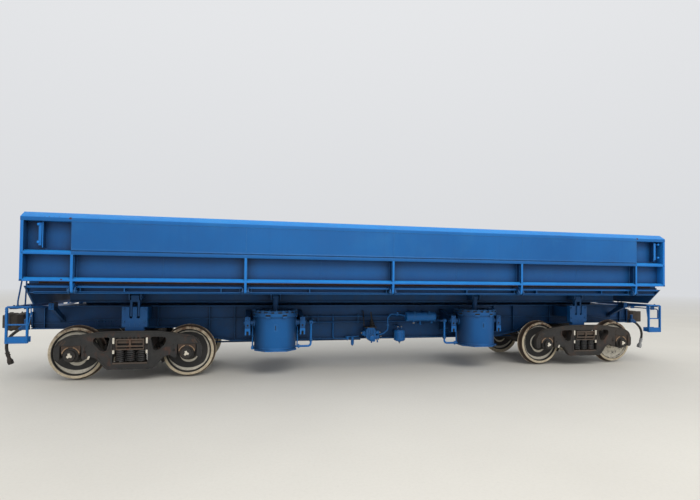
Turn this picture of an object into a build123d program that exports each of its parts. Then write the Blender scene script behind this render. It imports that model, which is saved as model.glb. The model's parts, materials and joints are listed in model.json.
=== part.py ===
from build123d import *
import os
from math import radians, sin, cos, tan, atan2, degrees

os.makedirs("parts", exist_ok=True)

# Side dump wagon. Millimetres, +X along the wagon, -Y the near side, +Z up.
# Z = 0 is the lowest point of the wheel flanges. RAIL is the tread level, so a
# height above the rail top is written R(height).

# ------------------------------------------------------------ driving sizes
RAIL = 28.0                 # flange depth below the tread


def R(z):
    return z + RAIL


# running gear
TREAD_R = 420.0             # wheel radius at the tread
FLANGE_R = 448.0
BACK_TO_BACK = 1353.0       # between the wheels' inner faces
RIM_W = 135.0
AXLE_Z = R(TREAD_R)
WHEELBASE = 1750.0          # of one bogie
BOGIE_X = 4300.0            # bogie pivots at +/- this
JOURNAL_Y = 978.0
FRAME_T = 140.0             # side frame thickness along Y
AXLE_END = 1100.0

# underframe
UF_HALF = 6063.0            # headstock faces
SILL_WEB = 240.0            # half width over the webs of the centre sill
SILL_FLANGE = 300.0
SILL_TOP = R(1165.0)
SILL_DEEP = R(500.0)        # bottom between the bogies
SILL_BOGIE = R(760.0)       # bottom over the bogies and out to the ends
FLANGE_T = 14.0
COUPLER_Z = R(880.0)
COUPLER_FACE = 6532.0       # pulling faces

# tipping geometry
TILT_Y = 800.0              # tilt axes at Y = +/- this
TILT_Z = R(1347.0)
TILT_DEG = 45.0
PIVOT_X = 4284.0            # pivot brackets
CYL_X = 1957.0              # cylinder centres
CYL_R = 375.0
CYL_RING = 410.0            # heavy ring round the top
CYL_LO = R(420.0)
CYL_HI = R(1112.0)
TRUN_Z = R(890.0)           # trunnion axis
TRUN_DX = 484.0             # hangers either side of a cylinder
STROKE = 600.0              # of each of the two stages
PIPE_DX = 645.0             # air pipe beside each barrel, on the side of the wagon's middle

# tipping body and doors
BODY_HALF = 5640.0
FLOOR_Y = 1440.0
FLOOR_LO = R(1570.0)
FLOOR_HI = R(1600.0)
SILL_Y = 1500.0             # outer face of the side sills
BEAM_Y = (560.0, 680.0)     # main longitudinal beams
BEAM_LO = R(1245.0)
WALL_X = 5480.0             # inner face of the end walls
WALL_TOP = R(2590.0)
DOOR_HALF = 5672.0
DOOR_FACE = 1600.0
DOOR_IN = 1450.0
HINGE_Y = 1550.0
HINGE_Z = R(1462.0)
RIB_X = (0.0, 2478.5, 4989.0)   # hinge arms, at + and - of each

SIDES = (("near", -1), ("far", 1))
ENDS = (("a", -1), ("b", 1))    # a: -X end, b: +X end


def done(part, label):
    part.label = label
    export_step(part, "parts/%s.step" % label)


def both(values):
    """Each station once at +x and once at -x, and 0 only once."""
    out = []
    for v in values:
        out += [v] if v == 0 else [-v, v]
    return sorted(out)


# ================================================================ underframe
# centre sill: side profile as (x, z of the bottom edge), half of the length
sill_bottom = [(0, SILL_DEEP), (2750, SILL_DEEP), (3250, R(600)), (3500, SILL_BOGIE), (UF_HALF, SILL_BOGIE)]
lower = [(-x, z) for x, z in reversed(sill_bottom[1:])] + sill_bottom
with BuildPart() as centre_sill:
    with BuildSketch(Plane.XZ):
        with BuildLine():
            Polyline(*lower, (UF_HALF, SILL_TOP), (-UF_HALF, SILL_TOP), close=True)
        make_face()
    extrude(amount=SILL_WEB, both=True)
    # bottom flange follows the profile, top flange is flat
    with BuildSketch(Plane.XZ):
        with BuildLine():
            Polyline(*lower, *[(x, z + FLANGE_T) for x, z in reversed(lower)], close=True)
        make_face()
    extrude(amount=SILL_FLANGE, both=True)
    with BuildSketch(Plane.XZ):
        with Locations((0, SILL_TOP - FLANGE_T / 2)):
            Rectangle(2 * UF_HALF, FLANGE_T)
    extrude(amount=SILL_FLANGE, both=True)
done(centre_sill.part, "centre_sill")

PB_IN, PB_OUT = 770.0, 870.0    # pivot bracket plates, from and to along Y
ARM_LO = R(920.0)               # underside of the bolster arms

# bolster arms from the sill out to the pivot brackets, and the centre plates below
with BuildPart() as underframe_bolsters:
    for sx in (-1, 1):
        for sy in (-1, 1):
            with Locations((sx * PIVOT_X, sy * (SILL_WEB + PB_IN) / 2, (ARM_LO + SILL_TOP) / 2)):
                Box(300, PB_IN - SILL_WEB, SILL_TOP - ARM_LO - 2 * FLANGE_T)
        with Locations((sx * BOGIE_X, 0, (R(745) + SILL_BOGIE) / 2)):
            Box(420, 460, SILL_BOGIE - R(745))
        with Locations((sx * BOGIE_X, 0, R(722.5))):
            Cylinder(150, 45)
done(underframe_bolsters.part, "underframe_bolsters")

# pivot brackets: a thick plate with two slots, open at the top, and a lower tab
PB_HALF = 200.0
SLOT_DX = 58.0
SLOT_W = 46.0
with BuildPart() as pivot_brackets:
    for sx in (-1, 1):
        for sy in (-1, 1):
            x0 = sx * PIVOT_X
            with BuildSketch(Plane.XZ.offset(-sy * (PB_IN + PB_OUT) / 2)):
                with Locations((x0, (R(840) + R(1180)) / 2)):
                    Rectangle(2 * PB_HALF, 340)
                with Locations((x0, R(810))):
                    Rectangle(290, 70)
                with Locations((x0 - SLOT_DX, R(1095)), (x0 + SLOT_DX, R(1095))):
                    Rectangle(SLOT_W, 170, mode=Mode.SUBTRACT)
                with Locations((x0 - SLOT_DX, R(1010)), (x0 + SLOT_DX, R(1010))):
                    Circle(SLOT_W / 2, mode=Mode.SUBTRACT)
            extrude(amount=(PB_OUT - PB_IN) / 2, both=True)
done(pivot_brackets.part, "pivot_brackets")

# hanger arms that carry the trunnions of the four cylinders
with BuildPart() as cylinder_hangers:
    for sx in (-1, 1):
        for dx in (-TRUN_DX, TRUN_DX):
            for sy in (-1, 1):
                with BuildSketch(Plane.YZ.offset(sx * CYL_X + dx)):
                    with BuildLine():
                        Polyline((sy * SILL_WEB, R(640)), (sy * SILL_WEB, R(1080)), (sy * 640, R(990)),
                                 (sy * 870, R(990)), (sy * 870, R(675)), (sy * 735, R(675)), (sy * 700, R(740)), close=True)
                    make_face()
                    with Locations((sy * TILT_Y, TRUN_Z)):
                        Circle(42, mode=Mode.SUBTRACT)
                extrude(amount=45, both=True)
                # notch in the foot of the bearing block
                with BuildSketch(Plane.XZ.offset(-sy * 800)):
                    with Locations((sx * CYL_X + dx, R(690))):
                        Rectangle(38, 60)
                    with Locations((sx * CYL_X + dx, R(720))):
                        Circle(19)
                extrude(amount=80, both=True, mode=Mode.SUBTRACT)
done(cylinder_hangers.part, "cylinder_hangers")

# cross bars at the ends, on top of the sill, with a grab hoop at two opposite corners
STEP_TOP = R(1215.0)
CROSS_X = 5950.0
with BuildPart() as end_platform_frames:
    for sx in (-1, 1):
        with Locations((sx * CROSS_X, 0, SILL_TOP + 22.5)):
            Box(90, 2280, 45)
        # the hoop, as (x, y, z): up from the step's top bar, over, and down to the cross bar
        hoop = [(5872, 1160, STEP_TOP), (5872, 1160, STEP_TOP + 75), (5838, 1065, R(1800)), (5900, 830, R(1800)),
                (5918, 830, SILL_TOP + 30)]
        with BuildSketch(Plane(origin=(sx * 5872, sx * 1160, STEP_TOP), z_dir=(0, 0, 1))):
            Circle(11)
        with BuildLine() as bar:
            FilletPolyline(*[(sx * x, sx * y, z) for x, y, z in hoop], radius=55)
        sweep(path=bar.wires()[0])
done(end_platform_frames.part, "end_platform_frames")

# corner steps: two stiles, a top bar, a rung, a deep tread and a brace to the sill
STEP_X = (5737.0, 6018.0)
STEP_Y = 1160.0
with BuildPart() as corner_steps:
    for sx in (-1, 1):
        for sy in (-1, 1):
            xm = sx * (STEP_X[0] + STEP_X[1]) / 2
            w = STEP_X[1] - STEP_X[0]
            for xs in STEP_X:
                with Locations((sx * xs, sy * STEP_Y, (R(645) + R(1215)) / 2)):
                    Box(26, 40, 570)
            with Locations((xm - sx * 15, sy * STEP_Y, R(1195))):
                Box(w + 90, 40, 40)
            with Locations((xm, sy * STEP_Y, R(930))):
                Box(w, 30, 30)
            with Locations((xm, sy * (STEP_Y - 60), R(695))):
                Box(w, 160, 100)
            with Locations((xm, sy * (STEP_Y - 60), R(712))):
                Box(w - 30, 130, 92, mode=Mode.SUBTRACT)
done(corner_steps.part, "corner_steps")

# rests for the ends of the tipping body: a block on a sloping strut
with BuildPart() as body_rests:
    for sx in (-1, 1):
        for sy in (-1, 1):
            with BuildSketch(Plane.YZ.offset(sx * 5590)):
                with BuildLine():
                    Polyline((sy * SILL_WEB, R(880)), (sy * SILL_WEB, R(965)), (sy * 560, R(1170)),
                             (sy * 560, R(1240)), (sy * 720, R(1240)), (sy * 720, R(1120)),
                             (sy * 660, R(1105)), close=True)
                make_face()
            extrude(amount=40, both=True)
done(body_rests.part, "body_rests")

# couplers: shank, head and knuckle in one casting each
with BuildPart() as couplers:
    for sx in (-1, 1):
        with Locations((sx * (UF_HALF + 110), 0, COUPLER_Z)):
            Box(220, 150, 150)
        with BuildSketch(Plane.XY.offset(COUPLER_Z - 165)):
            with BuildLine():
                Polyline((sx * 6230, -sx * 95), (sx * 6300, -sx * 190), (sx * 6440, -sx * 200),
                         (sx * 6560, -sx * 175), (sx * 6590, -sx * 120), (sx * 6480, -sx * 90),
                         (sx * 6420, -sx * 40), (sx * 6430, sx * 20), (sx * 6520, sx * 30),
                         (sx * 6575, sx * 70), (sx * 6570, sx * 130), (sx * 6480, sx * 190),
                         (sx * 6320, sx * 180), (sx * 6230, sx * 95), close=True)
            make_face()
        extrude(amount=330)
done(couplers.part, "couplers")

# uncoupling rods: a crank at the coupler, a bar across the end and a drop handle
with BuildPart() as uncoupling_rods:
    for sx in (-1, 1):
        y = -sx
        with BuildSketch(Plane(origin=(sx * 6130, y * 1010, R(900)), z_dir=(0, 0, 1))):
            Circle(11)
        with BuildLine() as bar:
            FilletPolyline((sx * 6130, y * 1010, R(900)), (sx * 6130, y * 1010, R(1110)), (sx * 6130, y * 60, R(1110)),
                           (sx * 6330, y * 60, R(1090)), radius=40)
        sweep(path=bar.wires()[0])
        with Locations((sx * 6075, y * 930, R(1128)), (sx * 6075, y * 420, R(1128))):
            Box(90, 16, 74)
done(uncoupling_rods.part, "uncoupling_rods")

# near side air reservoir on two straps
with BuildPart() as air_reservoir:
    with BuildSketch(Plane.YZ.offset(600)):
        with Locations((-560, R(955))):
            Circle(88)
    extrude(amount=610)
    with Locations((760, -400, R(1030)), (1060, -400, R(1030))):
        Box(50, 320, 40)
done(air_reservoir.part, "air_reservoir")

# far side: the reservoir that feeds the tipping cylinders, and the brake cylinder
with BuildPart() as main_reservoir:
    with BuildSketch(Plane.YZ.offset(-1080)):
        with Locations((560, R(820))):
            Circle(215)
    extrude(amount=1400)
    with Locations((-780, 300, R(820)), (20, 300, R(820))):
        Box(60, 120, 120)
done(main_reservoir.part, "main_reservoir")
with BuildPart() as brake_cylinder:
    with BuildSketch(Plane.YZ.offset(470)):
        with Locations((520, R(760))):
            Circle(178)
    extrude(amount=330)
    with BuildSketch(Plane.YZ.offset(800)):
        with Locations((520, R(760))):
            Circle(60)
    extrude(amount=200)
    with Locations((640, 292, R(760))):
        Box(120, 104, 120)
done(brake_cylinder.part, "brake_cylinder")
# pull rods below the sill, from the middle to each bogie
with BuildPart() as brake_rods:
    for sx in (-1, 1):
        with BuildSketch(Plane.YZ.offset(sx * 200)):
            with Locations((sx * 60, R(455))):
                Circle(14)
        extrude(amount=sx * 3100)
        with Locations((sx * 900, sx * 60, R(485)), (sx * 2300, sx * 60, R(485))):
            Box(40, 60, 30)
done(brake_rods.part, "brake_rods")

# brake valve and filter under the near side of the sill
with BuildPart() as brake_valves:
    with Locations((490, -500, R(590))):
        Cylinder(100, 210)
    with Locations((490, -350, R(640))):
        Box(80, 220, 60)
    with Locations((-50, -420, R(620))):
        Box(200, 230, 200)
    with Locations((-50, -290, R(650))):
        Box(260, 100, 140)
done(brake_valves.part, "brake_valves")

# train pipe along the near side of the sill
PIPE_R = 17.0
with BuildPart() as air_pipes:
    with BuildSketch(Plane.YZ.offset(-1420)):
        with Locations((-290, R(945)), (-290, R(836))):
            Circle(PIPE_R)
    extrude(amount=2840)
    with Locations(*[(x, -265, R(890)) for x in (-1100, -300, 350, 1100)]):
        Box(40, 50, 170)
    # fixed feeds from the sill to the cylinders' swivels
    for sx in (-1, 1):
        for sy in (-1, 1):
            xs = sx * (CYL_X - PIPE_DX - 70)
            with BuildSketch(Plane.XZ.offset(-sy * SILL_WEB)):
                with Locations((xs, TRUN_Z)):
                    Circle(20)
            with BuildLine() as feed:
                FilletPolyline((xs, sy * SILL_WEB, TRUN_Z), (xs, sy * TILT_Y, TRUN_Z),
                               (xs + sx * 28, sy * TILT_Y, TRUN_Z), radius=20)
            sweep(path=feed.wires()[0])
done(air_pipes.part, "air_pipes")

# ================================================================ end hoses
# angle cocks and the free hoses that hang from them, one at each end
HOSE_R = 24.0
HOSE_Y = 350.0
hose_route = [(6205, R(768)), (6315, R(690)), (6385, R(575)), (6398, R(440)), (6360, R(318))]


def bend_radii(pts):
    """0.45 of the shorter run over the tangent of half the turn, corner by corner."""
    out = []
    for p, q, s in zip(pts, pts[1:], pts[2:]):
        a = (Vector(*q) - Vector(*p))
        b = (Vector(*s) - Vector(*q))
        turn = a.get_angle(b)
        out.append(0.45 * min(a.length, b.length) / tan(radians(turn / 2)))
    return out


with BuildPart() as angle_cocks:
    for sx in (-1, 1):
        y = -HOSE_Y
        with Locations((sx * 6110, y, R(800))):
            Box(94, 70, 80)
        with Locations((sx * 6110, y, R(890))):
            Cylinder(30, 100)
        with BuildSketch(Plane(origin=(sx * 6140, y, R(814)), z_dir=(sx * 110, 0, -78))):
            Circle(32)
        extrude(amount=79.6)
done(angle_cocks.part, "angle_cocks")

for name, sx in (("a", -1), ("b", 1)):
    y = -HOSE_Y
    pts = [(sx * x, y, z) for x, z in hose_route]
    radii = bend_radii(pts)
    with BuildPart() as hose:
        with BuildLine() as route:
            FilletPolyline(*pts, radius=radii)
        with BuildSketch(Plane(origin=pts[0], z_dir=Vector(*pts[1]) - Vector(*pts[0]))):
            Circle(HOSE_R)
        sweep()
    length = route.wires()[0].length
    print("brake_hose_%s radii %s length %.1f volume ratio %.4f" % (
        name, [round(r) for r in radii], length, hose.part.volume / (3.14159265 * HOSE_R ** 2 * length)))
    done(hose.part, "brake_hose_" + name)
    end = Vector(*pts[-1])
    along = (Vector(*pts[-1]) - Vector(*pts[-2])).normalized()
    with BuildPart() as head:
        with BuildSketch(Plane(origin=end, z_dir=along)):
            Circle(32)
        extrude(amount=70)
        with Locations(Plane(origin=end + along * 100, z_dir=along)):
            Box(70, 60, 90)
    done(head.part, "hose_coupling_" + name)

# ================================================================ tipping body
with BuildPart() as floor_plate:
    with Locations((0, 0, (FLOOR_LO + FLOOR_HI) / 2)):
        Box(2 * WALL_X, 2 * FLOOR_Y, FLOOR_HI - FLOOR_LO)
done(floor_plate.part, "floor_plate")

# side sills: channels open to the outside, with upright stiffeners in the channel
S_LO, S_HI = R(1430.0), R(1535.0)
SILL_X = BODY_HALF - 24     # the sills stop at the end beams
stiff_x = (1430.0, 2860.0, 4290.0)
with BuildPart() as side_sills:
    for _, sy in SIDES:
        with BuildSketch(Plane.YZ.offset(-SILL_X)):
            with BuildLine():
                Polyline((sy * 1400, FLOOR_LO), (sy * 1400, S_LO), (sy * SILL_Y, S_LO), (sy * SILL_Y, S_LO + 12),
                         (sy * 1412, S_LO + 12), (sy * 1412, S_HI - 12), (sy * SILL_Y, S_HI - 12),
                         (sy * SILL_Y, S_HI), (sy * 1425, S_HI), (sy * 1425, FLOOR_LO), close=True)
            make_face()
        extrude(amount=2 * SILL_X)
        with Locations(*[(x, sy * 1453, (S_LO + S_HI) / 2) for x in both(stiff_x)]):
            Box(14, 82, S_HI - S_LO - 24)
        # the lower flange is cut back at its ends
        for sx in (-1, 1):
            with BuildSketch(Plane.XY.offset(S_LO - 5)):
                with BuildLine():
                    Polyline((sx * (SILL_X - 92), sy * (SILL_Y + 1)), (sx * (SILL_X + 1), sy * (SILL_Y + 1)),
                             (sx * (SILL_X + 1), sy * 1413), close=True)
                make_face()
            extrude(amount=30, mode=Mode.SUBTRACT)
done(side_sills.part, "side_sills")

with BuildPart() as main_beams:
    for _, sy in SIDES:
        ym = sy * (BEAM_Y[0] + BEAM_Y[1]) / 2
        with Locations((0, ym, (BEAM_LO + FLOOR_LO) / 2)):
            Box(10680, 60, FLOOR_LO - BEAM_LO)
        with Locations((0, ym, BEAM_LO + 8)):
            Box(10680, 120, 16)
done(main_beams.part, "main_beams")

# cross beams: shallow arms out to the side sills, deep ones with sloping tips at the ends
arm_x = (0.0, 950.0, 2478.5, 3400.0, 4284.0, 4989.0)
with BuildPart() as cross_beams:
    for xs in both(arm_x):
        for sy in (-1, 1):
            with Locations((xs, sy * 1025, (R(1470) + FLOOR_LO) / 2)):
                Box(28, 750, FLOOR_LO - R(1470))
        with Locations((xs, 0, (R(1420) + FLOOR_LO) / 2)):
            Box(60, 1180, FLOOR_LO - R(1420))
    for sx in (-1, 1):
        with BuildSketch(Plane.YZ.offset(sx * (BODY_HALF - 12))):
            with BuildLine():
                Polyline((-1530, S_HI), (-1240, R(1250)), (1240, R(1250)), (1530, S_HI), (1440, S_HI), (1440, FLOOR_LO), (-1440, FLOOR_LO), (-1440, S_HI), close=True)
            make_face()
        extrude(amount=12, both=True)
done(cross_beams.part, "cross_beams")

# end walls with outer stiffeners
with BuildPart() as end_walls:
    for sx in (-1, 1):
        with Locations((sx * (WALL_X + 8), 0, (FLOOR_LO + WALL_TOP) / 2)):
            Box(16, 2 * FLOOR_Y, WALL_TOP - FLOOR_LO)
        for z in (FLOOR_HI + 50, R(1930), R(2260), WALL_TOP - 45):
            with Locations((sx * (WALL_X + 66), 0, z)):
                Box(100, 2 * FLOOR_Y, 80)
        for y in (-1400, -700, 0, 700, 1400):
            with Locations((sx * (WALL_X + 71), y, (FLOOR_LO + WALL_TOP) / 2)):
                Box(110, 80, WALL_TOP - FLOOR_LO)
done(end_walls.part, "end_walls")

# lugs under the body: pairs of plates at the four pivots and the four rod eyes,
# with a pin across each pivot pair
LUG = ((PIVOT_X, 80.0), (CYL_X, 68.0))
with BuildPart() as pivot_lugs:
    for x, dx in LUG:
        for xs in (-x, x):
            for sy in (-1, 1):
                for side in (-1, 1):
                    with BuildSketch(Plane.YZ.offset(xs + side * (dx + 10))):
                        with BuildLine():
                            Polyline((sy * 650, FLOOR_LO), (sy * 650, TILT_Z - 40), (sy * (TILT_Y - 45), TILT_Z - 55),
                                     (sy * (TILT_Y + 45), TILT_Z - 55), (sy * (TILT_Y + 75), TILT_Z),
                                     (sy * (TILT_Y + 75), R(1470)), (sy * 1000, FLOOR_LO), close=True)
                        make_face()
                    extrude(amount=10, both=True)
                if x == PIVOT_X:
                    with BuildSketch(Plane.YZ.offset(xs)):
                        with Locations((sy * TILT_Y, TILT_Z)):
                            Circle(30)
                    extrude(amount=dx + 34, both=True)
done(pivot_lugs.part, "pivot_lugs")

# lugs and pins for the hinge arms of the doors
with BuildPart() as door_hinge_lugs:
    for _, sy in SIDES:
        for x in both(RIB_X):
            for side in (-1, 1):
                with BuildSketch(Plane.YZ.offset(x + side * 43)):
                    with BuildLine():
                        Polyline((sy * SILL_Y, S_LO), (sy * SILL_Y, S_HI), (sy * (HINGE_Y + 10), HINGE_Z + 55),
                                 (sy * (HINGE_Y + 42), HINGE_Z), (sy * (HINGE_Y + 15), HINGE_Z - 40), close=True)
                    make_face()
                extrude(amount=10, both=True)
            with BuildSketch(Plane.YZ.offset(x)):
                with Locations((sy * HINGE_Y, HINGE_Z)):
                    Circle(18)
            extrude(amount=62, both=True)
done(door_hinge_lugs.part, "door_hinge_lugs")

# ================================================================ saddle blocks
for name, sy in SIDES:
    with BuildPart() as saddle:
        for sx in (-1, 1):
            x0 = sx * PIVOT_X
            with BuildSketch(Plane.YZ.offset(x0)):
                with Locations((sy * TILT_Y, R(1320))):
                    Rectangle(120, 90)
                with Locations((sy * TILT_Y, TILT_Z)):
                    Circle(60)
                    Circle(31.5, mode=Mode.SUBTRACT)
            extrude(amount=60, both=True)
            with Locations((x0 - SLOT_DX, sy * 822, R(1155)), (x0 + SLOT_DX, sy * 822, R(1155))):
                Box(32, 70, 270)
            with Locations((x0, sy * 806, R(1277))):
                Box(148, 104, 26)
    done(saddle.part, name + "_saddle_blocks")

# ================================================================ side doors
BOX_HALF = 5000.0
for name, sy in SIDES:
    with BuildPart() as panel:
        with Locations((0, sy * (DOOR_IN + 6), (R(1602) + R(2600)) / 2)):
            Box(2 * DOOR_HALF, 12, R(2600) - R(1602))
    done(panel.part, name + "_door_panel")

    with BuildPart() as frame:
        # top chord with its sloping upper face, full length
        with BuildSketch(Plane.YZ.offset(-DOOR_HALF)):
            with BuildLine():
                Polyline((sy * 1462, R(2490)), (sy * DOOR_FACE, R(2490)), (sy * DOOR_FACE, R(2547)),
                         (sy * 1476, R(2630)), (sy * 1450, R(2630)), (sy * 1450, R(2600)),
                         (sy * 1462, R(2600)), close=True)
            make_face()
        extrude(amount=2 * DOOR_HALF)
        # flush box below the chord, between the end bays
        with Locations((0, sy * (1462 + DOOR_FACE) / 2, (R(2060) + R(2490)) / 2)):
            Box(2 * BOX_HALF, DOOR_FACE - 1462, R(2490) - R(2060))
        # mid rail, bottom rail, end posts
        with Locations((0, sy * (1462 + DOOR_FACE) / 2, R(2030)), (0, sy * (1462 + DOOR_FACE) / 2, R(1635))):
            Box(2 * DOOR_HALF, DOOR_FACE - 1462, 58)
        with Locations(*[(sx * (DOOR_HALF - 25), sy * (1462 + DOOR_FACE) / 2, (R(1610) + R(2500)) / 2) for sx in (-1, 1)]):
            Box(50, DOOR_FACE - 1462, R(2500) - R(1610))
        # hinge arms: upright ribs that run down to the hinge pins
        for x in both(RIB_X):
            with BuildSketch(Plane.YZ.offset(x)):
                with BuildLine():
                    Polyline((sy * 1462, R(2050)), (sy * DOOR_FACE, R(2050)), (sy * DOOR_FACE, HINGE_Z + 20),
                             (sy * (HINGE_Y + 20), HINGE_Z - 38), (sy * (HINGE_Y - 20), HINGE_Z - 38),
                             (sy * (HINGE_Y - 42), HINGE_Z), (sy * (HINGE_Y - 42), R(1590)), (sy * 1462, R(1612)),
                             close=True)
                make_face()
                with Locations((sy * HINGE_Y, HINGE_Z)):
                    Circle(20, mode=Mode.SUBTRACT)
            extrude(amount=26, both=True)
    done(frame.part, name + "_door_frame")

# ================================================================ cylinders
SLEEVE_R = 300.0
ROD_R = 47.5
for name, sy in SIDES:
    with BuildPart() as barrels:
        for sx in (-1, 1):
            x0 = sx * CYL_X
            ax = Axis((x0, sy * TILT_Y, 0), (0, 0, 1))
            with BuildSketch(Plane(origin=(x0, sy * TILT_Y, 0), x_dir=(1, 0, 0), z_dir=(0, -1, 0))):
                with BuildLine():
                    Polyline((0, CYL_LO), (CYL_R, CYL_LO), (CYL_R, CYL_HI - 125), (CYL_RING, CYL_HI - 112),
                             (CYL_RING, CYL_HI), (SLEEVE_R + 3, CYL_HI), (SLEEVE_R + 3, CYL_LO + 20),
                             (0, CYL_LO + 20), close=True)
                make_face()
            revolve(axis=ax)
            # square foot plate
            with Locations((x0, sy * TILT_Y, CYL_LO + 12)):
                Box(2 * CYL_R - 20, 2 * CYL_R - 10, 24)
            # trunnions
            with BuildSketch(Plane.YZ.offset(x0 - TRUN_DX - 52)):
                with Locations((sy * TILT_Y, TRUN_Z)):
                    Circle(40)
            extrude(amount=TRUN_DX + 52 - CYL_R + 15)
            with BuildSketch(Plane.YZ.offset(x0 + CYL_R - 15)):
                with Locations((sy * TILT_Y, TRUN_Z)):
                    Circle(40)
            extrude(amount=TRUN_DX + 52 - CYL_R + 15)
            # air pipe from the foot up to the swivel on the trunnion line
            with BuildSketch(Plane.YZ.offset(x0 - sx * 360)):
                with Locations((sy * TILT_Y, R(455))):
                    Circle(22)
            with BuildLine() as feed:
                FilletPolyline((x0 - sx * 360, sy * TILT_Y, R(455)), (x0 - sx * PIPE_DX, sy * TILT_Y, R(455)),
                               (x0 - sx * PIPE_DX, sy * TILT_Y, TRUN_Z), radius=66)
            sweep(path=feed.wires()[0])
            with BuildSketch(Plane.YZ.offset(x0 - sx * PIPE_DX)):
                with Locations((sy * TILT_Y, TRUN_Z)):
                    Circle(36)
            extrude(amount=34, both=True)
            # drain pipe and its boss on the other side
            with Locations((x0 + sx * 394, sy * TILT_Y, R(640))):
                Cylinder(14, 400)
            with Locations((x0 + sx * 394, sy * TILT_Y, R(440))):
                Cylinder(26, 50)
    done(barrels.part, name + "_cylinder_barrels")

    with BuildPart() as sleeves:
        for sx in (-1, 1):
            x0 = sx * CYL_X
            with BuildSketch(Plane(origin=(x0, sy * TILT_Y, 0), x_dir=(1, 0, 0), z_dir=(0, -1, 0))):
                with BuildLine():
                    Polyline((0, CYL_LO + 26), (SLEEVE_R, CYL_LO + 26), (SLEEVE_R, CYL_HI - 8), (ROD_R + 2, CYL_HI - 8),
                             (ROD_R + 2, CYL_HI - 24), (SLEEVE_R - 14, CYL_HI - 24), (SLEEVE_R - 14, CYL_LO + 38),
                             (0, CYL_LO + 38), close=True)
                make_face()
            revolve(axis=Axis((x0, sy * TILT_Y, 0), (0, 0, 1)))
    done(sleeves.part, name + "_cylinder_sleeves")

    with BuildPart() as rods:
        for sx in (-1, 1):
            x0 = sx * CYL_X
            with BuildSketch(Plane(origin=(x0, sy * TILT_Y, 0), x_dir=(1, 0, 0), z_dir=(0, -1, 0))):
                with BuildLine():
                    Polyline((0, CYL_LO + 42), (SLEEVE_R - 20, CYL_LO + 42), (SLEEVE_R - 20, CYL_LO + 66),
                             (ROD_R, CYL_LO + 66), (ROD_R, TILT_Z - 20), (0, TILT_Z - 20), close=True)
                make_face()
            revolve(axis=Axis((x0, sy * TILT_Y, 0), (0, 0, 1)))
            with BuildSketch(Plane.YZ.offset(x0)):
                with Locations((sy * TILT_Y, TILT_Z)):
                    Circle(50)
            extrude(amount=50, both=True)
    done(rods.part, name + "_cylinder_rods")

# ================================================================ bogies
# side frame outline, right half, as (x from the bogie's centre, height above rail)
frame_half = [(400, 795), (620, 760), (940, 712), (1075, 630), (1122, 520), (1115, 365), (1060, 340), (1030, 370),
              (1030, 575), (720, 575), (720, 370), (672, 345), (600, 420), (500, 375), (365, 172)]
outline = [(x, z) for x, z in frame_half] + [(-x, z) for x, z in reversed(frame_half)]
window = [(302, 688), (552, 690), (552, 612), (440, 478), (352, 470)]
for name, sx in ENDS:
    xb = sx * BOGIE_X
    with BuildPart() as side_frames:
        for sy in (-1, 1):
            with BuildSketch(Plane.XZ.offset(-sy * JOURNAL_Y)) as frame_side:
                with BuildLine():
                    Polyline(*[(xb + x, R(z)) for x, z in outline], close=True)
                make_face()
                for s in (-1, 1):
                    with BuildLine():
                        Polyline(*[(xb + s * x, R(z)) for x, z in window], close=True)
                    make_face(mode=Mode.SUBTRACT)
                soft = frame_side.vertices()
                fillet(soft, 16)
                with Locations((xb, R(485))):
                    Rectangle(530, 410, mode=Mode.SUBTRACT)
            extrude(amount=FRAME_T / 2, both=True)
    done(side_frames.part, "bogie_%s_side_frames" % name)

    with BuildPart() as bolster:
        with BuildSketch(Plane.YZ.offset(xb)):
            with BuildLine():
                Polyline((-1070, R(540)), (-840, R(540)), (-560, R(440)), (560, R(440)), (840, R(540)), (1070, R(540)),
                         (1070, R(672)), (800, R(672)), (220, R(672)), (220, R(695)), (-220, R(695)), (-220, R(672)),
                         (-1070, R(672)), close=True)
            make_face()
        extrude(amount=215, both=True)
        with Locations(*[(xb + dx, sy * 1070, R(607)) for dx in (-104, 104) for sy in (-1, 1)]):
            Box(176, 300, 82, mode=Mode.SUBTRACT)
    done(bolster.part, "bogie_%s_bolster" % name)

    with BuildPart() as springs:
        for sy in (-1, 1):
            for dx in (-165, 0, 165):
                with Locations((xb + dx, sy * JOURNAL_Y, R((285 + 535) / 2))):
                    Cylinder(72, 240)
    done(springs.part, "bogie_%s_springs" % name)

    with BuildPart() as boxes:
        for s in (-1, 1):
            for sy in (-1, 1):
                xa = xb + s * WHEELBASE / 2
                with BuildSketch(Plane.XZ.offset(-sy * JOURNAL_Y)):
                    with Locations((xa, AXLE_Z)):
                        Circle(120)
                    with Locations((xa, R(510))):
                        Rectangle(270, 120)
                    with Locations((xa, AXLE_Z)):
                        Circle(70, mode=Mode.SUBTRACT)
                extrude(amount=60, both=True)
    done(boxes.part, "bogie_%s_bearings" % name)

    with BuildPart() as beams:
        for s in (-1, 1):
            with Locations((xb + s * 345, 0, R(360))):
                Box(50, 1640, 70)
            for sy in (-1, 1):
                with BuildSketch(Plane.XZ.offset(-sy * 764)):
                    with BuildLine():
                        xa = xb + s * WHEELBASE / 2
                        a0, a1 = radians(165), radians(205)
                        pts = []
                        for r, seq in ((430, (0, 1, 2)), (478, (2, 1, 0))):
                            for k in seq:
                                a = a0 + (a1 - a0) * k / 2
                                pts.append((xa + s * r * cos(a), AXLE_Z + r * sin(a)))
                        Polyline(*pts, close=True)
                    make_face()
                extrude(amount=40, both=True)
    done(beams.part, "bogie_%s_brake_beams" % name)

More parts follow.
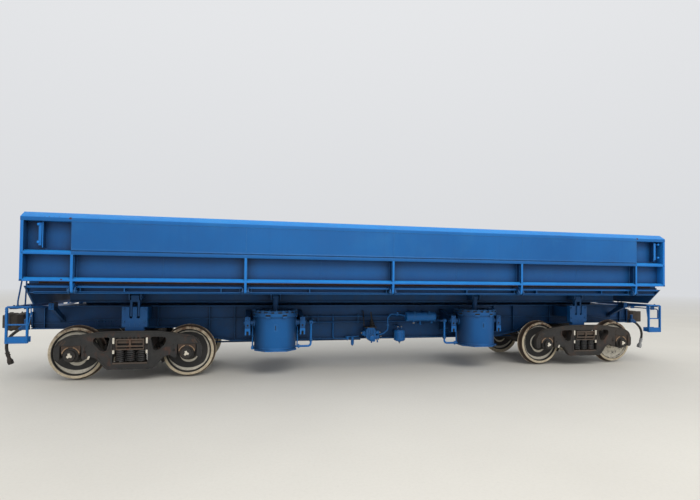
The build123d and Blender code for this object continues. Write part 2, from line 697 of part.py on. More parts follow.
# ================================================================ wheelsets
IN_Y = BACK_TO_BACK / 2
wheel = [(668, 97), (668, 128), (716, 142), (738, 345), (684, 352), (IN_Y, 362), (IN_Y, 430), (683, 443),
         (693, FLANGE_R), (702, 443), (709, 428), (718, 421), (IN_Y + 70, TREAD_R), (IN_Y + RIM_W, 416),
         (IN_Y + RIM_W, 362), (804, 352), (764, 345), (744, 150), (836, 136), (846, 130), (846, 97)]
axle = [(0, 87), (640, 87), (664, 97), (852, 97), (864, 82), (905, 82), (912, 65), (1040, 65), (1040, 84),
        (AXLE_END, 84), (AXLE_END, 0), (0, 0)]
number = 0
for _, sx in ENDS:
    for s in (-1, 1):
        number += 1
        xa = sx * BOGIE_X + s * WHEELBASE / 2
        spin = Axis((xa, 0, AXLE_Z), (0, 1, 0))
        with BuildPart() as wheels:
            for sy in (-1, 1):
                with BuildSketch(Plane(origin=(xa, 0, AXLE_Z), x_dir=(0, 1, 0), z_dir=(1, 0, 0))):
                    with BuildLine():
                        Polyline(*[(sy * a, r) for a, r in wheel], close=True)
                    make_face()
                revolve(axis=spin)
        done(wheels.part, "wheels_%d" % number)
        with BuildPart() as shaft:
            with BuildSketch(Plane(origin=(xa, 0, AXLE_Z), x_dir=(0, 1, 0), z_dir=(1, 0, 0))):
                with BuildLine():
                    Polyline(*[(a, r) for a, r in axle[:-2]], (AXLE_END, 0), (-AXLE_END, 0),
                             *[(-a, r) for a, r in reversed(axle[:-2])], close=True)
                make_face()
            revolve(axis=spin)
        done(shaft.part, "axle_%d" % number)
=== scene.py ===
import bpy
import bmesh
import json
from math import pi, sin, cos, tan, atan2, sqrt, radians, hypot
from mathutils import Vector, Matrix

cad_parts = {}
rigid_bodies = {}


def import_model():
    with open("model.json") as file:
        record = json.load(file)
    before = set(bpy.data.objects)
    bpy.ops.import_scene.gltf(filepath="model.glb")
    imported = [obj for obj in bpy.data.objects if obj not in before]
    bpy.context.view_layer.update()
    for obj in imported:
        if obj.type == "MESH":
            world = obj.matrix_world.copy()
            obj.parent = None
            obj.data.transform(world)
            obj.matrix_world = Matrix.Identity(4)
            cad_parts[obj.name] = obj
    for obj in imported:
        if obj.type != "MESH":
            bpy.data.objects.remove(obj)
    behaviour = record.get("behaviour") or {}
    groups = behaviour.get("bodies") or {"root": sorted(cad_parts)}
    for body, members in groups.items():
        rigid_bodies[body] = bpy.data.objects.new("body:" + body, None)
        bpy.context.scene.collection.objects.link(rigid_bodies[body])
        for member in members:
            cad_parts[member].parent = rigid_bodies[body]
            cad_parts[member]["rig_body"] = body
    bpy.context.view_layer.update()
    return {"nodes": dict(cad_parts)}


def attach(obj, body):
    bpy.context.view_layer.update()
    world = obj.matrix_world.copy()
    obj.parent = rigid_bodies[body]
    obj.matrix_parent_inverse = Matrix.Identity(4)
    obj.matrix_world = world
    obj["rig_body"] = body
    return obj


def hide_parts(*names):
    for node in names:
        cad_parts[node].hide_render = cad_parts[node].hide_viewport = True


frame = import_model()
NODES = frame["nodes"]

RAIL = 0.028                     # tread level above the flange bottoms


def R(z):
    return z + RAIL


SIDES = (("near", -1), ("far", 1))
ENDS = (("a", -1), ("b", 1))

# =================================================================== camera
def make_camera():
    cam = bpy.data.cameras.new("camera")
    cam.sensor_fit = "HORIZONTAL"
    cam.sensor_width = 36.0
    cam.lens = 441.79 / 700 * 36.0
    cam.shift_y = (269.26 - 250) / 700
    cam.clip_start, cam.clip_end = 0.1, 400
    obj = bpy.data.objects.new("camera", cam)
    bpy.context.scene.collection.objects.link(obj)
    yaw, pitch, roll = radians(-12.365), radians(1.090), radians(0.6756)
    fwd = Vector((-sin(yaw), cos(yaw), 0))
    right = Vector((cos(yaw), sin(yaw), 0))
    up = Vector((0, 0, 1))
    f2 = fwd * cos(pitch) + up * sin(pitch)
    u2 = -fwd * sin(pitch) + up * cos(pitch)
    r3 = right * cos(roll) + u2 * sin(roll)
    u3 = -right * sin(roll) + u2 * cos(roll)
    m = Matrix.Identity(4)
    for i in range(3):
        m[i][0], m[i][1], m[i][2] = r3[i], u3[i], -f2[i]
    m[0][3], m[1][3], m[2][3] = -2.361, -8.866, 1.737
    obj.matrix_world = m
    bpy.context.scene.camera = obj


make_camera()


# ================================================================ materials
class Mat:
    """A Principled material and short names for the nodes it is built from."""

    def __init__(self, name):
        self.m = bpy.data.materials.new(name)
        self.m.use_nodes = True
        self.nt = self.m.node_tree
        self.b = self.nt.nodes["Principled BSDF"]
        self.tc = self.nt.nodes.new("ShaderNodeTexCoord")
        self.obj = self.tc.outputs["Object"]
        self.geo = self.nt.nodes.new("ShaderNodeNewGeometry")

    def new(self, kind, **kw):
        n = self.nt.nodes.new(kind)
        for k, v in kw.items():
            setattr(n, k, v)
        return n

    def put(self, socket, value):
        if isinstance(value, bpy.types.NodeSocket):
            self.nt.links.new(value, socket)
        else:
            socket.default_value = value

    def stretch(self, sx, sy, sz, vec=None):
        n = self.new("ShaderNodeMapping")
        self.put(n.inputs["Vector"], vec or self.obj)
        n.inputs["Scale"].default_value = (sx, sy, sz)
        return n.outputs["Vector"]

    def noise(self, scale, detail=4.0, rough=0.55, vec=None, distort=0.0):
        n = self.new("ShaderNodeTexNoise")
        self.put(n.inputs["Vector"], vec or self.obj)
        n.inputs["Scale"].default_value = scale
        n.inputs["Detail"].default_value = detail
        n.inputs["Roughness"].default_value = rough
        n.inputs["Distortion"].default_value = distort
        return n.outputs["Fac"]

    def cells(self, scale, vec=None, feature="F1"):
        n = self.new("ShaderNodeTexVoronoi", feature=feature)
        self.put(n.inputs["Vector"], vec or self.obj)
        n.inputs["Scale"].default_value = scale
        return n.outputs["Distance"]

    def ramp(self, fac, *stops):
        """stops: (position, grey or colour)."""
        n = self.new("ShaderNodeValToRGB")
        e = n.color_ramp.elements
        for i, (p, c) in enumerate(stops):
            el = e[i] if i < 2 else e.new(p)
            el.position = p
            el.color = (c, c, c, 1) if isinstance(c, (int, float)) else (*c, 1)
        self.put(n.inputs["Fac"], fac)
        return n.outputs["Color"]

    def mix(self, fac, a, b, blend="MIX"):
        n = self.new("ShaderNodeMix", data_type="RGBA", blend_type=blend)
        self.put(n.inputs[0], fac)
        for s, v in ((n.inputs[6], a), (n.inputs[7], b)):
            self.put(s, v if isinstance(v, bpy.types.NodeSocket) else (*v, 1))
        return n.outputs[2]

    def math(self, op, a, b=None, clamp=False):
        n = self.new("ShaderNodeMath", operation=op, use_clamp=clamp)
        self.put(n.inputs[0], a)
        if b is not None:
            self.put(n.inputs[1], b)
        return n.outputs[0]

    def axis(self, which, vec=None):
        n = self.new("ShaderNodeSeparateXYZ")
        self.put(n.inputs[0], vec or self.obj)
        return n.outputs["XYZ".index(which)]

    def band(self, value, centre, half, soft):
        """1 where value is within half of centre, down to 0 over soft."""
        d = self.math("ABSOLUTE", self.math("SUBTRACT", value, centre))
        n = self.new("ShaderNodeMapRange")
        self.put(n.inputs["Value"], d)
        n.inputs["From Min"].default_value = half
        n.inputs["From Max"].default_value = half + soft
        n.inputs["To Min"].default_value = 1.0
        n.inputs["To Max"].default_value = 0.0
        return n.outputs["Result"]

    def steps(self, value, lo, hi):
        n = self.new("ShaderNodeMapRange")
        self.put(n.inputs["Value"], value)
        n.inputs["From Min"].default_value = lo
        n.inputs["From Max"].default_value = hi
        return n.outputs["Result"]

    def up(self, lo=0.35, hi=0.95):
        return self.steps(self.axis("Z", self.geo.outputs["Normal"]), lo, hi)

    def edges(self, radius):
        """Near 1 along sharp edges, from how far the rounded normal leans from the true one."""
        bev = self.new("ShaderNodeBevel", samples=4)
        bev.inputs["Radius"].default_value = radius
        dot = self.new("ShaderNodeVectorMath", operation="DOT_PRODUCT")
        self.put(dot.inputs[0], bev.outputs["Normal"])
        self.put(dot.inputs[1], self.geo.outputs["Normal"])
        return self.steps(dot.outputs["Value"], 0.995, 0.88)

    def hollow(self, reach=0.25, lo=0.35, hi=0.95):
        """0 in corners and under ledges, 1 in the open."""
        n = self.new("ShaderNodeAmbientOcclusion", samples=6)
        n.inputs["Distance"].default_value = reach
        return self.steps(n.outputs["AO"], lo, hi)

    def length(self, centre, keep=(1, 0, 1)):
        """Distance from the point centre, counting only the axes in keep."""
        a = self.new("ShaderNodeVectorMath", operation="SUBTRACT")
        self.put(a.inputs[0], self.obj)
        a.inputs[1].default_value = centre
        b = self.new("ShaderNodeVectorMath", operation="MULTIPLY")
        self.put(b.inputs[0], a.outputs[0])
        b.inputs[1].default_value = keep
        c = self.new("ShaderNodeVectorMath", operation="LENGTH")
        self.put(c.inputs[0], b.outputs[0])
        return c.outputs["Value"], b.outputs[0]

    def bump(self, *layers):
        """layers: (height, strength, distance), laid one on another."""
        last = None
        for h, s, d in layers:
            n = self.new("ShaderNodeBump")
            self.put(n.inputs["Height"], h)
            n.inputs["Strength"].default_value = s
            n.inputs["Distance"].default_value = d
            if last is not None:
                self.put(n.inputs["Normal"], last)
            last = n.outputs["Normal"]
        self.put(self.b.inputs["Normal"], last)

    def done(self, color, rough, metallic=0.0):
        self.put(self.b.inputs["Base Color"], color if isinstance(color, bpy.types.NodeSocket) else (*color, 1))
        self.put(self.b.inputs["Roughness"], rough)
        self.put(self.b.inputs["Metallic"], metallic)
        return self.m


RUST_DARK, RUST_RED, RUST_ORANGE = (0.045, 0.018, 0.010), (0.115, 0.036, 0.014), (0.24, 0.085, 0.026)
DUST = (0.30, 0.27, 0.22)


def paint(name, dirt=0.25, chips=0.25, dull=0.0, lines=(), floorward=1.1, bright=1.0, soot_and_shade=0.55, spots=(), flank_shade=0.0, ledge=(0.16, 0.235, 0.345), ledge_amount=0.55, shade_from=None):
    """Blue enamel: slow colour drift, rain streaks, dust on ledges, grime near the
    ground, worn edges with specks of rust; painted shade in corners, on faces along the wagon
    and above shade_from. bright scales every colour, which gives lit and shaded copies of one enamel.
    lines: heights (m) of edges that are rubbed; spots: rust spots as (x, y, z, radius)."""
    m = Mat(name)
    base, deep, pale = ([c * bright for c in col] for col in
                        ((0.0080, 0.150, 0.470), (0.0050, 0.112, 0.375), (0.020, 0.185, 0.490)))
    drift = m.noise(0.55, 3)
    col = m.mix(m.ramp(drift, (0.35, 0.0), (0.70, 1.0)), base, deep)
    col = m.mix(m.ramp(m.noise(1.7, 5, 0.6), (0.55, 0.0), (0.80, 0.6)), col, pale)
    streak = m.noise(1.0, 5, 0.6, m.stretch(16, 16, 0.55))
    col = m.mix(m.ramp(streak, (0.52, 0.0), (0.74, 0.30)), col, deep)
    streak2 = m.noise(1.0, 6, 0.6, m.stretch(34, 34, 0.9))
    col = m.mix(m.ramp(streak2, (0.58, 0.0), (0.80, 0.22)), col, pale)
    # dust lies on what faces up, and thins out in the rain streaks; where a bright blue ledge colour is given, this is
    # a painted highlight on the upward faces
    speck = m.noise(9, 8, 0.7)
    ledge_dust_and_highlight = m.math("MULTIPLY", m.up(0.25, 0.95), m.ramp(speck, (0.30, 0.10), (0.75, 0.55)))
    col = m.mix(m.math("MULTIPLY", ledge_dust_and_highlight, ledge_amount), col, ledge)
    # grime: patches, more of it low down
    low = m.steps(m.axis("Z"), floorward, 0.25)
    patch = m.ramp(m.noise(3.2, 7, 0.62, None, 0.4), (0.42, 0.0), (0.72, 1.0))
    grime = m.math("MULTIPLY", patch, m.math("ADD", m.math("MULTIPLY", low, 0.55), dirt), True)
    col = m.mix(m.math("MULTIPLY", grime, 0.65), col, (0.052, 0.058, 0.062))
    # soot and painted shade: darker navy in corners and behind ledges
    corner_shade = m.math("SUBTRACT", 1.0, m.hollow(0.22, 0.30, 0.90))
    col = m.mix(m.math("MULTIPLY", corner_shade, soot_and_shade), col, (0.006, 0.020, 0.055))
    if shade_from is not None:      # painted shadow above this height (m), fading in over 3 cm
        col = m.mix(m.math("MULTIPLY", m.steps(m.axis("Z"), shade_from, shade_from + 0.030), 0.75), col, (0.003, 0.008, 0.020))
    if flank_shade:       # painted shade on what faces along the wagon
        side = m.steps(m.math("ABSOLUTE", m.axis("X", m.geo.outputs["Normal"])), 0.45, 1.0)
        col = m.mix(m.math("MULTIPLY", side, flank_shade), col, (0.003, 0.014, 0.045))
    # rubbed edges
    edge = m.edges(0.010)
    broken = m.ramp(m.noise(26, 6, 0.7), (0.52, 0.0), (0.62, 1.0))
    light = m.math("MULTIPLY", edge, m.ramp(m.noise(6, 5, 0.6), (0.35, 0.15), (0.7, 0.55)))
    col = m.mix(light, col, (0.055, 0.235, 0.530))
    rare = m.ramp(m.noise(1.9, 3, 0.5), (0.56, 0.0), (0.70, 1.0))
    chip = m.math("MULTIPLY", m.math("MULTIPLY", edge, broken), m.math("MULTIPLY", rare, chips * 3.2), True)
    z = m.axis("Z")
    for z0, half, amount in lines:
        b = m.band(z, z0, half, 0.006)
        worn = m.ramp(m.noise(1.0, 6, 0.75, m.stretch(3.2, 30, 60)), (0.60, 0.0), (0.66, 1.0))
        chip = m.math("MAXIMUM", chip, m.math("MULTIPLY", m.math("MULTIPLY", b, worn), amount))
    dots = m.math("MULTIPLY", m.ramp(m.cells(7.5), (0.035, 1.0), (0.055, 0.0)),
                  m.ramp(m.noise(2.3, 2), (0.60, 0.0), (0.66, 1.0)))
    chip = m.math("MAXIMUM", chip, m.math("MULTIPLY", dots, min(1.0, chips * 2)))
    for x0, y0, z0, r0 in spots:
        d, _ = m.length((x0, y0, z0), (1, 1, 1))
        ragged = m.math("ADD", d, m.math("MULTIPLY", m.math("SUBTRACT", m.noise(70, 5, 0.7), 0.5), r0 * 1.4))
        chip = m.math("MAXIMUM", chip, m.steps(ragged, r0, r0 * 0.75))
    rust = m.mix(m.noise(60, 5), RUST_DARK, RUST_RED)
    col = m.mix(chip, col, rust)
    rough = m.ramp(m.noise(4, 6, 0.65), (0.3, 0.34 + dull), (0.75, 0.50 + dull))
    rough = m.mix(ledge_dust_and_highlight, rough, (0.72, 0.72, 0.72))
    rough = m.mix(m.math("MAXIMUM", grime, chip), rough, (0.78, 0.78, 0.78))
    m.bump((m.noise(1.3, 2, 0.5, m.stretch(1.6, 1.6, 0.7)), 0.22, 0.012),
           (m.noise(340, 2), 0.05, 0.0006), (chip, 0.35, 0.0008))
    m.b.inputs["Specular IOR Level"].default_value = 0.30
    return m.done(col, rough)


def casting(name, base=(0.038, 0.034, 0.031), brown=(0.075, 0.047, 0.030), dust_amount=0.45, grit=1.0, rough0=0.62,
            dust=(0.155, 0.130, 0.100), rubbed=(0.125, 0.108, 0.090), shade=0.85, reach=0.16):
    """Sand-cast steel, once black, now brown with brake dust and road dust."""
    m = Mat(name)
    col = m.mix(m.ramp(m.noise(2.6, 7, 0.65), (0.38, 0.0), (0.68, 1.0)), base, brown)
    col = m.mix(m.ramp(m.noise(11, 8, 0.7), (0.55, 0.0), (0.75, 0.7)), col, (0.018, 0.016, 0.015))
    red = m.math("MULTIPLY", m.ramp(m.noise(5.2, 7, 0.7, None, 0.6), (0.56, 0.0), (0.70, 1.0)),
                 m.ramp(m.noise(46, 5), (0.35, 0.3), (0.65, 1.0)))
    col = m.mix(m.math("MULTIPLY", red, 0.75), col, RUST_RED)
    lies = m.math("MULTIPLY", m.up(0.05, 0.95), m.ramp(m.noise(7, 8, 0.7), (0.25, 0.15), (0.75, 0.9)))
    col = m.mix(m.math("MULTIPLY", lies, dust_amount), col, dust)
    rub = m.math("MULTIPLY", m.edges(0.012), m.ramp(m.noise(9, 6), (0.40, 0.05), (0.70, 0.55)))
    col = m.mix(rub, col, rubbed)
    # painted shade with grease and soot: black in the corners
    corner_shade = m.math("SUBTRACT", 1.0, m.hollow(reach, 0.25, 0.90))
    col = m.mix(m.math("MULTIPLY", corner_shade, shade), col, (0.004, 0.004, 0.004))
    rough = m.ramp(m.noise(14, 6, 0.7), (0.3, rough0), (0.75, rough0 + 0.22))
    m.bump((m.noise(18, 6, 0.7), 0.30 * grit, 0.006), (m.noise(150, 4, 0.7), 0.35 * grit, 0.0016),
           (m.cells(70), 0.10 * grit, 0.001))
    return m.done(col, rough, 0.0)


def rusty(name, base=(0.085, 0.040, 0.022), grit=1.0, bright=(0.20, 0.090, 0.040)):
    m = Mat(name)
    col = m.mix(m.ramp(m.noise(4.0, 8, 0.7), (0.35, 0.0), (0.70, 1.0)), base, bright)
    col = m.mix(m.ramp(m.noise(22, 7, 0.7), (0.50, 0.0), (0.72, 1.0)), col, RUST_DARK)
    rough = m.ramp(m.noise(30, 5), (0.3, 0.72), (0.7, 0.92))
    m.bump((m.noise(30, 7, 0.75), 0.5 * grit, 0.003), (m.noise(220, 4), 0.4 * grit, 0.0008))
    return m.done(col, rough)


def load_floor(name):
    """Where stone and ore slide: scoured bare steel, brown in the quiet spots, blue left near the rim."""
    m = Mat(name)
    steel = m.mix(m.ramp(m.noise(3.0, 6, 0.65), (0.35, 0.0), (0.7, 1.0)), (0.15, 0.135, 0.12), (0.085, 0.066, 0.052))
    rust = m.mix(m.noise(25, 6), RUST_DARK, RUST_ORANGE)
    amount = m.ramp(m.noise(1.6, 8, 0.72, None, 0.5), (0.40, 0.15), (0.64, 1.0))
    col = m.mix(amount, steel, rust)
    scratch = m.noise(1.0, 7, 0.7, m.stretch(3, 60, 60))
    col = m.mix(m.ramp(scratch, (0.60, 0.0), (0.72, 0.7)), col, (0.24, 0.225, 0.205))
    grit = m.ramp(m.noise(5.5, 8, 0.75), (0.50, 0.0), (0.72, 0.8))
    col = m.mix(m.math("MULTIPLY", grit, m.up(0.3, 0.9)), col, (0.175, 0.145, 0.110))
    left = m.math("MULTIPLY", m.steps(m.axis("Z"), 2.10, 2.56), m.ramp(m.noise(2.4, 8, 0.75), (0.40, 0.0), (0.56, 1.0)))
    col = m.mix(left, col, (0.020, 0.140, 0.400))
    rough = m.ramp(amount, (0.2, 0.48), (0.9, 0.85))
    m.bump((m.noise(2.2, 4, 0.6), 0.35, 0.020), (m.noise(26, 7, 0.75), 0.35, 0.003), (scratch, 0.25, 0.0015))
    return m.done(col, rough, 0.35)


def band_steel(name, tint, tint2, metallic, rough_lo, rough_hi, rust_amount):
    m = Mat(name)
    col = m.mix(m.ramp(m.noise(10, 7, 0.7), (0.35, 0.0), (0.70, 1.0)), tint, tint2)
    patch = m.ramp(m.noise(6, 8, 0.75), (0.56 - 0.16 * rust_amount, 0.0), (0.72, 1.0))
    col = m.mix(m.math("MULTIPLY", patch, rust_amount), col, (0.135, 0.062, 0.030))
    rough = m.ramp(m.noise(16, 6), (0.3, rough_lo), (0.75, rough_hi))
    m.bump((m.noise(60, 6, 0.7), 0.22, 0.0016), (m.noise(300, 3), 0.12, 0.0005))
    return m.done(col, rough, metallic)


def rubber(name):
    m = Mat(name)
    col = m.mix(m.ramp(m.noise(30, 6, 0.7), (0.4, 0.0), (0.75, 1.0)), (0.012, 0.012, 0.013), (0.040, 0.037, 0.034))
    w = m.new("ShaderNodeTexWave", wave_type="BANDS", bands_direction="Z")
    w.inputs["Scale"].default_value = 120
    w.inputs["Distortion"].default_value = 0.6
    m.put(w.inputs["Vector"], m.obj)
    m.bump((w.outputs["Fac"], 0.25, 0.0006), (m.noise(260, 3), 0.2, 0.0004))
    return m.done(col, m.ramp(m.noise(40, 4), (0.3, 0.50), (0.7, 0.74)))


def wheel_paint(name, centre, bottom, top, left, right, low_web=0.0):
    """Black wheel centre; pale crescents on the fillets inside the rim and round the hub, dust together with a painted
    highlight where those fillets face the light, as thick as given (m) at the bottom, top, left and right."""
    m = Mat(name)
    r, off = m.length((centre, 0.0, R(0.420)))
    x = m.math("DIVIDE", m.axis("X", off), r)
    z = m.math("DIVIDE", m.axis("Z", off), r)
    thick = 0.0
    for v, sgn, t in ((z, -1.0, bottom), (z, 1.0, top), (x, -1.0, left), (x, 1.0, right)):
        if t:
            lobe = m.math("MULTIPLY", m.steps(m.math("MULTIPLY", v, sgn), 0.35, 1.0), t)
            thick = m.math("MAXIMUM", lobe, thick)
    wob = m.math("MULTIPLY", m.math("SUBTRACT", m.noise(22, 5, 0.7), 0.5), 0.010)
    outer = m.math("SUBTRACT", m.math("ADD", r, wob), m.math("SUBTRACT", 0.343, thick))
    outer = m.math("MULTIPLY", m.steps(outer, 0.0, 0.006), m.steps(r, 0.350, 0.343))
    hub = m.math("SUBTRACT", m.math("ADD", m.math("MULTIPLY", thick, 0.9), 0.166), m.math("ADD", r, wob))
    hub = m.math("MULTIPLY", m.steps(hub, 0.0, 0.006), m.math("MULTIPLY", m.steps(r, 0.160, 0.168), m.steps(m.math("MAXIMUM", m.math("MULTIPLY", z, -1.0), m.math("MULTIPLY", x, -0.85) if left else -1.0), 0.30, 0.60)))
    pale = m.math("MAXIMUM", outer, hub)
    if low_web:
        splash = m.ramp(m.noise(15, 6, 0.72, None, 0.5), (0.40, 0.0), (0.50, 1.0))
        pale = m.math("MAXIMUM", pale, m.math("MULTIPLY", m.math("MULTIPLY", splash, low_web), m.steps(m.math("MULTIPLY", z, -1.0), 0.15, 0.65)))
    col = m.mix(m.ramp(m.noise(3.1, 7, 0.65), (0.38, 0.0), (0.68, 1.0)), (0.021, 0.021, 0.021), (0.034, 0.031, 0.029))
    col = m.mix(m.ramp(m.noise(12, 8, 0.7), (0.55, 0.0), (0.75, 0.7)), col, (0.014, 0.014, 0.014))
    chalk = m.mix(m.ramp(m.noise(26, 6, 0.7), (0.35, 0.0), (0.72, 1.0)), (0.72, 0.68, 0.58), (0.50, 0.45, 0.36))
    # painted shade: the web's outer edge next to the rim is near black
    col = m.mix(m.steps(r, 0.338, 0.347), col, (0.010, 0.010, 0.010))
    col = m.mix(pale, col, chalk)
    # painted shade: darker in the enclosed corners
    corner_shade = m.math("SUBTRACT", 1.0, m.hollow(0.14, 0.20, 0.85))
    col = m.mix(m.math("MULTIPLY", corner_shade, 0.70), col, (0.005, 0.005, 0.005))
    m.bump((m.noise(18, 6, 0.7), 0.18, 0.004), (m.noise(150, 4, 0.7), 0.22, 0.0012))
    return m.done(col, m.ramp(m.noise(14, 6, 0.7), (0.3, 0.58), (0.75, 0.80)))


def rim_paint(name, centre, inward):
    """Rim face: chalky tan, rust brown where the upper part has been rained on, near black beside the shoe as painted
    shade
    where the side frame shadows it. inward: +1 or -1, the way to the bogie's middle."""
    m = Mat(name)
    r, off = m.length((centre, 0.0, R(0.420)))
    z = m.math("DIVIDE", m.axis("Z", off), r)
    col = m.mix(m.ramp(m.noise(24, 7, 0.7), (0.35, 0.0), (0.70, 1.0)), (0.66, 0.58, 0.43), (0.48, 0.40, 0.27))
    brown = m.math("MULTIPLY", m.ramp(m.noise(9, 8, 0.75), (0.40, 0.0), (0.60, 1.0)), m.math("ADD", m.math("MULTIPLY", m.steps(z, 0.30, 0.95), 0.95), 0.30), True)
    col = m.mix(brown, col, (0.125, 0.066, 0.034))
    # painted shade beside the shoe, on the side towards the bogie's middle
    x = m.math("MULTIPLY", m.math("DIVIDE", m.axis("X", off), r), inward)
    shoe = m.math("MULTIPLY", m.steps(x, 0.55, 0.86), m.steps(z, -0.42, -0.16))
    col = m.mix(m.math("MULTIPLY", shoe, 0.93), col, (0.012, 0.011, 0.010))
    # painted shade: a near-black ring along the inner edge of the rim face
    col = m.mix(m.steps(r, 0.376, 0.369), col, (0.010, 0.010, 0.010))
    m.bump((m.noise(60, 6, 0.7), 0.22, 0.0016), (m.noise(300, 3), 0.12, 0.0005))
    return m.done(col, m.ramp(m.noise(16, 6), (0.3, 0.55), (0.75, 0.78)))


def concrete(name, far):
    """Pale warm screed; far off it fades into the backdrop's own colour."""
    m = Mat(name)
    col = m.mix(m.ramp(m.noise(0.35, 4), (0.3, 0.0), (0.75, 1.0)), (0.690, 0.665, 0.600), (0.640, 0.615, 0.555))
    col = m.mix(m.ramp(m.noise(30, 6, 0.7), (0.45, 0.0), (0.8, 0.35)), col, (0.56, 0.535, 0.475))
    m.bump((m.noise(60, 5), 0.05, 0.002))
    mat = m.done(col, m.ramp(m.noise(5, 4), (0.3, 0.80), (0.7, 0.92)))
    d, _ = m.length((0.0, 0.0, 0.0), (1, 1, 0))
    glow = m.new("ShaderNodeEmission")
    glow.inputs["Color"].default_value = (*far, 1)
    glow.inputs["Strength"].default_value = 1.0
    both = m.new("ShaderNodeMixShader")
    m.put(both.inputs[0], m.steps(d, 16.0, 60.0))
    m.put(both.inputs[1], m.b.outputs[0])
    m.put(both.inputs[2], glow.outputs[0])
    out = [n for n in m.nt.nodes if n.type == "OUTPUT_MATERIAL"][0]
    m.put(out.inputs["Surface"], both.outputs[0])
    return mat


BLUE_DOOR = paint("blue_door", dirt=0.08, chips=0.26, bright=0.83, soot_and_shade=0.60,
                  lines=((R(2.547), 0.006, 0.75), (R(1.664), 0.005, 0.35), (R(2.059), 0.003, 0.25)))
# darker copy of the door enamel: painted shade on the panels recessed behind the rails
BLUE_PANEL = paint("blue_panel", dirt=0.14, chips=0.08, dull=0.02, bright=0.66, soot_and_shade=0.85)
BLUE_BODY = paint("blue_body", dirt=0.28, chips=0.25, dull=0.06, bright=0.80)
# darker copy: grime and painted shade on the parts under the body
BLUE_UNDER = paint("blue_under", dirt=0.36, chips=0.20, dull=0.08, floorward=1.35, bright=0.52, soot_and_shade=0.80)
BLUE_GEAR = paint("blue_gear", dirt=0.06, chips=0.15, floorward=0.5, bright=0.98, soot_and_shade=0.72)
# its flank setting paints shade on the barrels' sides
BLUE_CYL = paint("blue_cylinder", dirt=0.05, chips=0.12, floorward=0.55, bright=0.75, soot_and_shade=0.80, flank_shade=0.85)
BLUE_TAB = paint("blue_tab", dirt=0.06, chips=0.10, floorward=0.50, bright=1.15, soot_and_shade=0.40)
# much brighter copy: painted highlight on the grab irons' round heads
BLUE_HEAD = paint("blue_head", dirt=0.02, chips=0.10, bright=1.75, soot_and_shade=0.20)
CAST = casting("bogie_cast", base=(0.019, 0.0195, 0.020), brown=(0.030, 0.028, 0.026), dust_amount=0.36, dust=(0.100, 0.090, 0.078),
               rubbed=(0.075, 0.068, 0.060), grit=1.25)
CAST_B = casting("bogie_cast_worn", base=(0.023, 0.022, 0.021), brown=(0.043, 0.033, 0.026), dust_amount=0.42, grit=1.5,
                 dust=(0.125, 0.105, 0.082), rubbed=(0.105, 0.088, 0.070))
CAST_DARK = casting("bogie_cast_dark", base=(0.016, 0.0155, 0.015), brown=(0.028, 0.024, 0.021), dust_amount=0.22)
CAST_BROWN = casting("bogie_cast_brown", base=(0.062, 0.047, 0.037), brown=(0.100, 0.068, 0.046), dust_amount=0.35, shade=0.70)
SPRING = casting("spring_bar", base=(0.016, 0.0165, 0.0175), brown=(0.030, 0.028, 0.026), dust_amount=0.25, grit=0.35, rough0=0.42,
                 dust=(0.070, 0.070, 0.070), rubbed=(0.050, 0.050, 0.050), shade=0.92, reach=0.10)
COUPLER = casting("coupler_cast", base=(0.024, 0.021, 0.019), brown=(0.048, 0.034, 0.025), dust_amount=0.28)
TREAD = band_steel("wheel_tread", (0.080, 0.058, 0.042), (0.042, 0.030, 0.022), 0.15, 0.50, 0.75, 0.65)
STEEL_ROD = band_steel("ram_steel", (0.46, 0.46, 0.47), (0.34, 0.34, 0.35), 1.0, 0.16, 0.30, 0.06)
ZINC = band_steel("bolt_steel", (0.16, 0.15, 0.14), (0.08, 0.065, 0.055), 0.5, 0.45, 0.65, 0.35)
PALE_HEAD = band_steel("pale_fitting", (0.34, 0.35, 0.36), (0.22, 0.22, 0.22), 0.1, 0.40, 0.60, 0.12)
CHALK = band_steel("chalk_white", (0.74, 0.70, 0.60), (0.56, 0.50, 0.40), 0.0, 0.60, 0.85, 0.15)
# tan scale, also a painted highlight on the adapters' upper shoulders
TAN_SCALE_AND_HIGHLIGHT = band_steel("tan_scale_and_highlight", (0.34, 0.23, 0.14), (0.17, 0.095, 0.052), 0.0, 0.60, 0.85, 0.45)
RUSTY = rusty("rust_plate", base=(0.030, 0.014, 0.011), bright=(0.085, 0.034, 0.022))
# brighter copy of the door enamel, its upward faces bright blue instead of dusty: painted highlight on the rails and
# the chord's slope
BLUE_RAIL = paint("blue_rail", dirt=0.03, chips=0.30, bright=1.34, soot_and_shade=0.45, ledge=(0.020, 0.285, 0.700), ledge_amount=1.7,
                  lines=((R(2.547), 0.006, 0.75), (R(1.664), 0.005, 0.35)),
                  spots=((-5.015, -1.598, R(2.540), 0.020), (5.012, -1.598, R(2.540), 0.022), (-5.122, -1.598, R(1.635), 0.016),
                         (-5.355, -1.590, R(2.556), 0.008), (-5.300, -1.588, R(2.558), 0.010), (-5.235, -1.590, R(2.556), 0.007),
                         (-5.170, -1.588, R(2.558), 0.009), (-4.640, -1.590, R(2.555), 0.006), (2.140, -1.590, R(2.555), 0.007),
                         (5.000, 1.598, R(2.540), 0.020), (-4.980, 1.598, R(1.640), 0.018)))
BLUE_STEP = paint("blue_step", dirt=0.14, chips=0.30, bright=1.02, floorward=0.6, soot_and_shade=0.40)
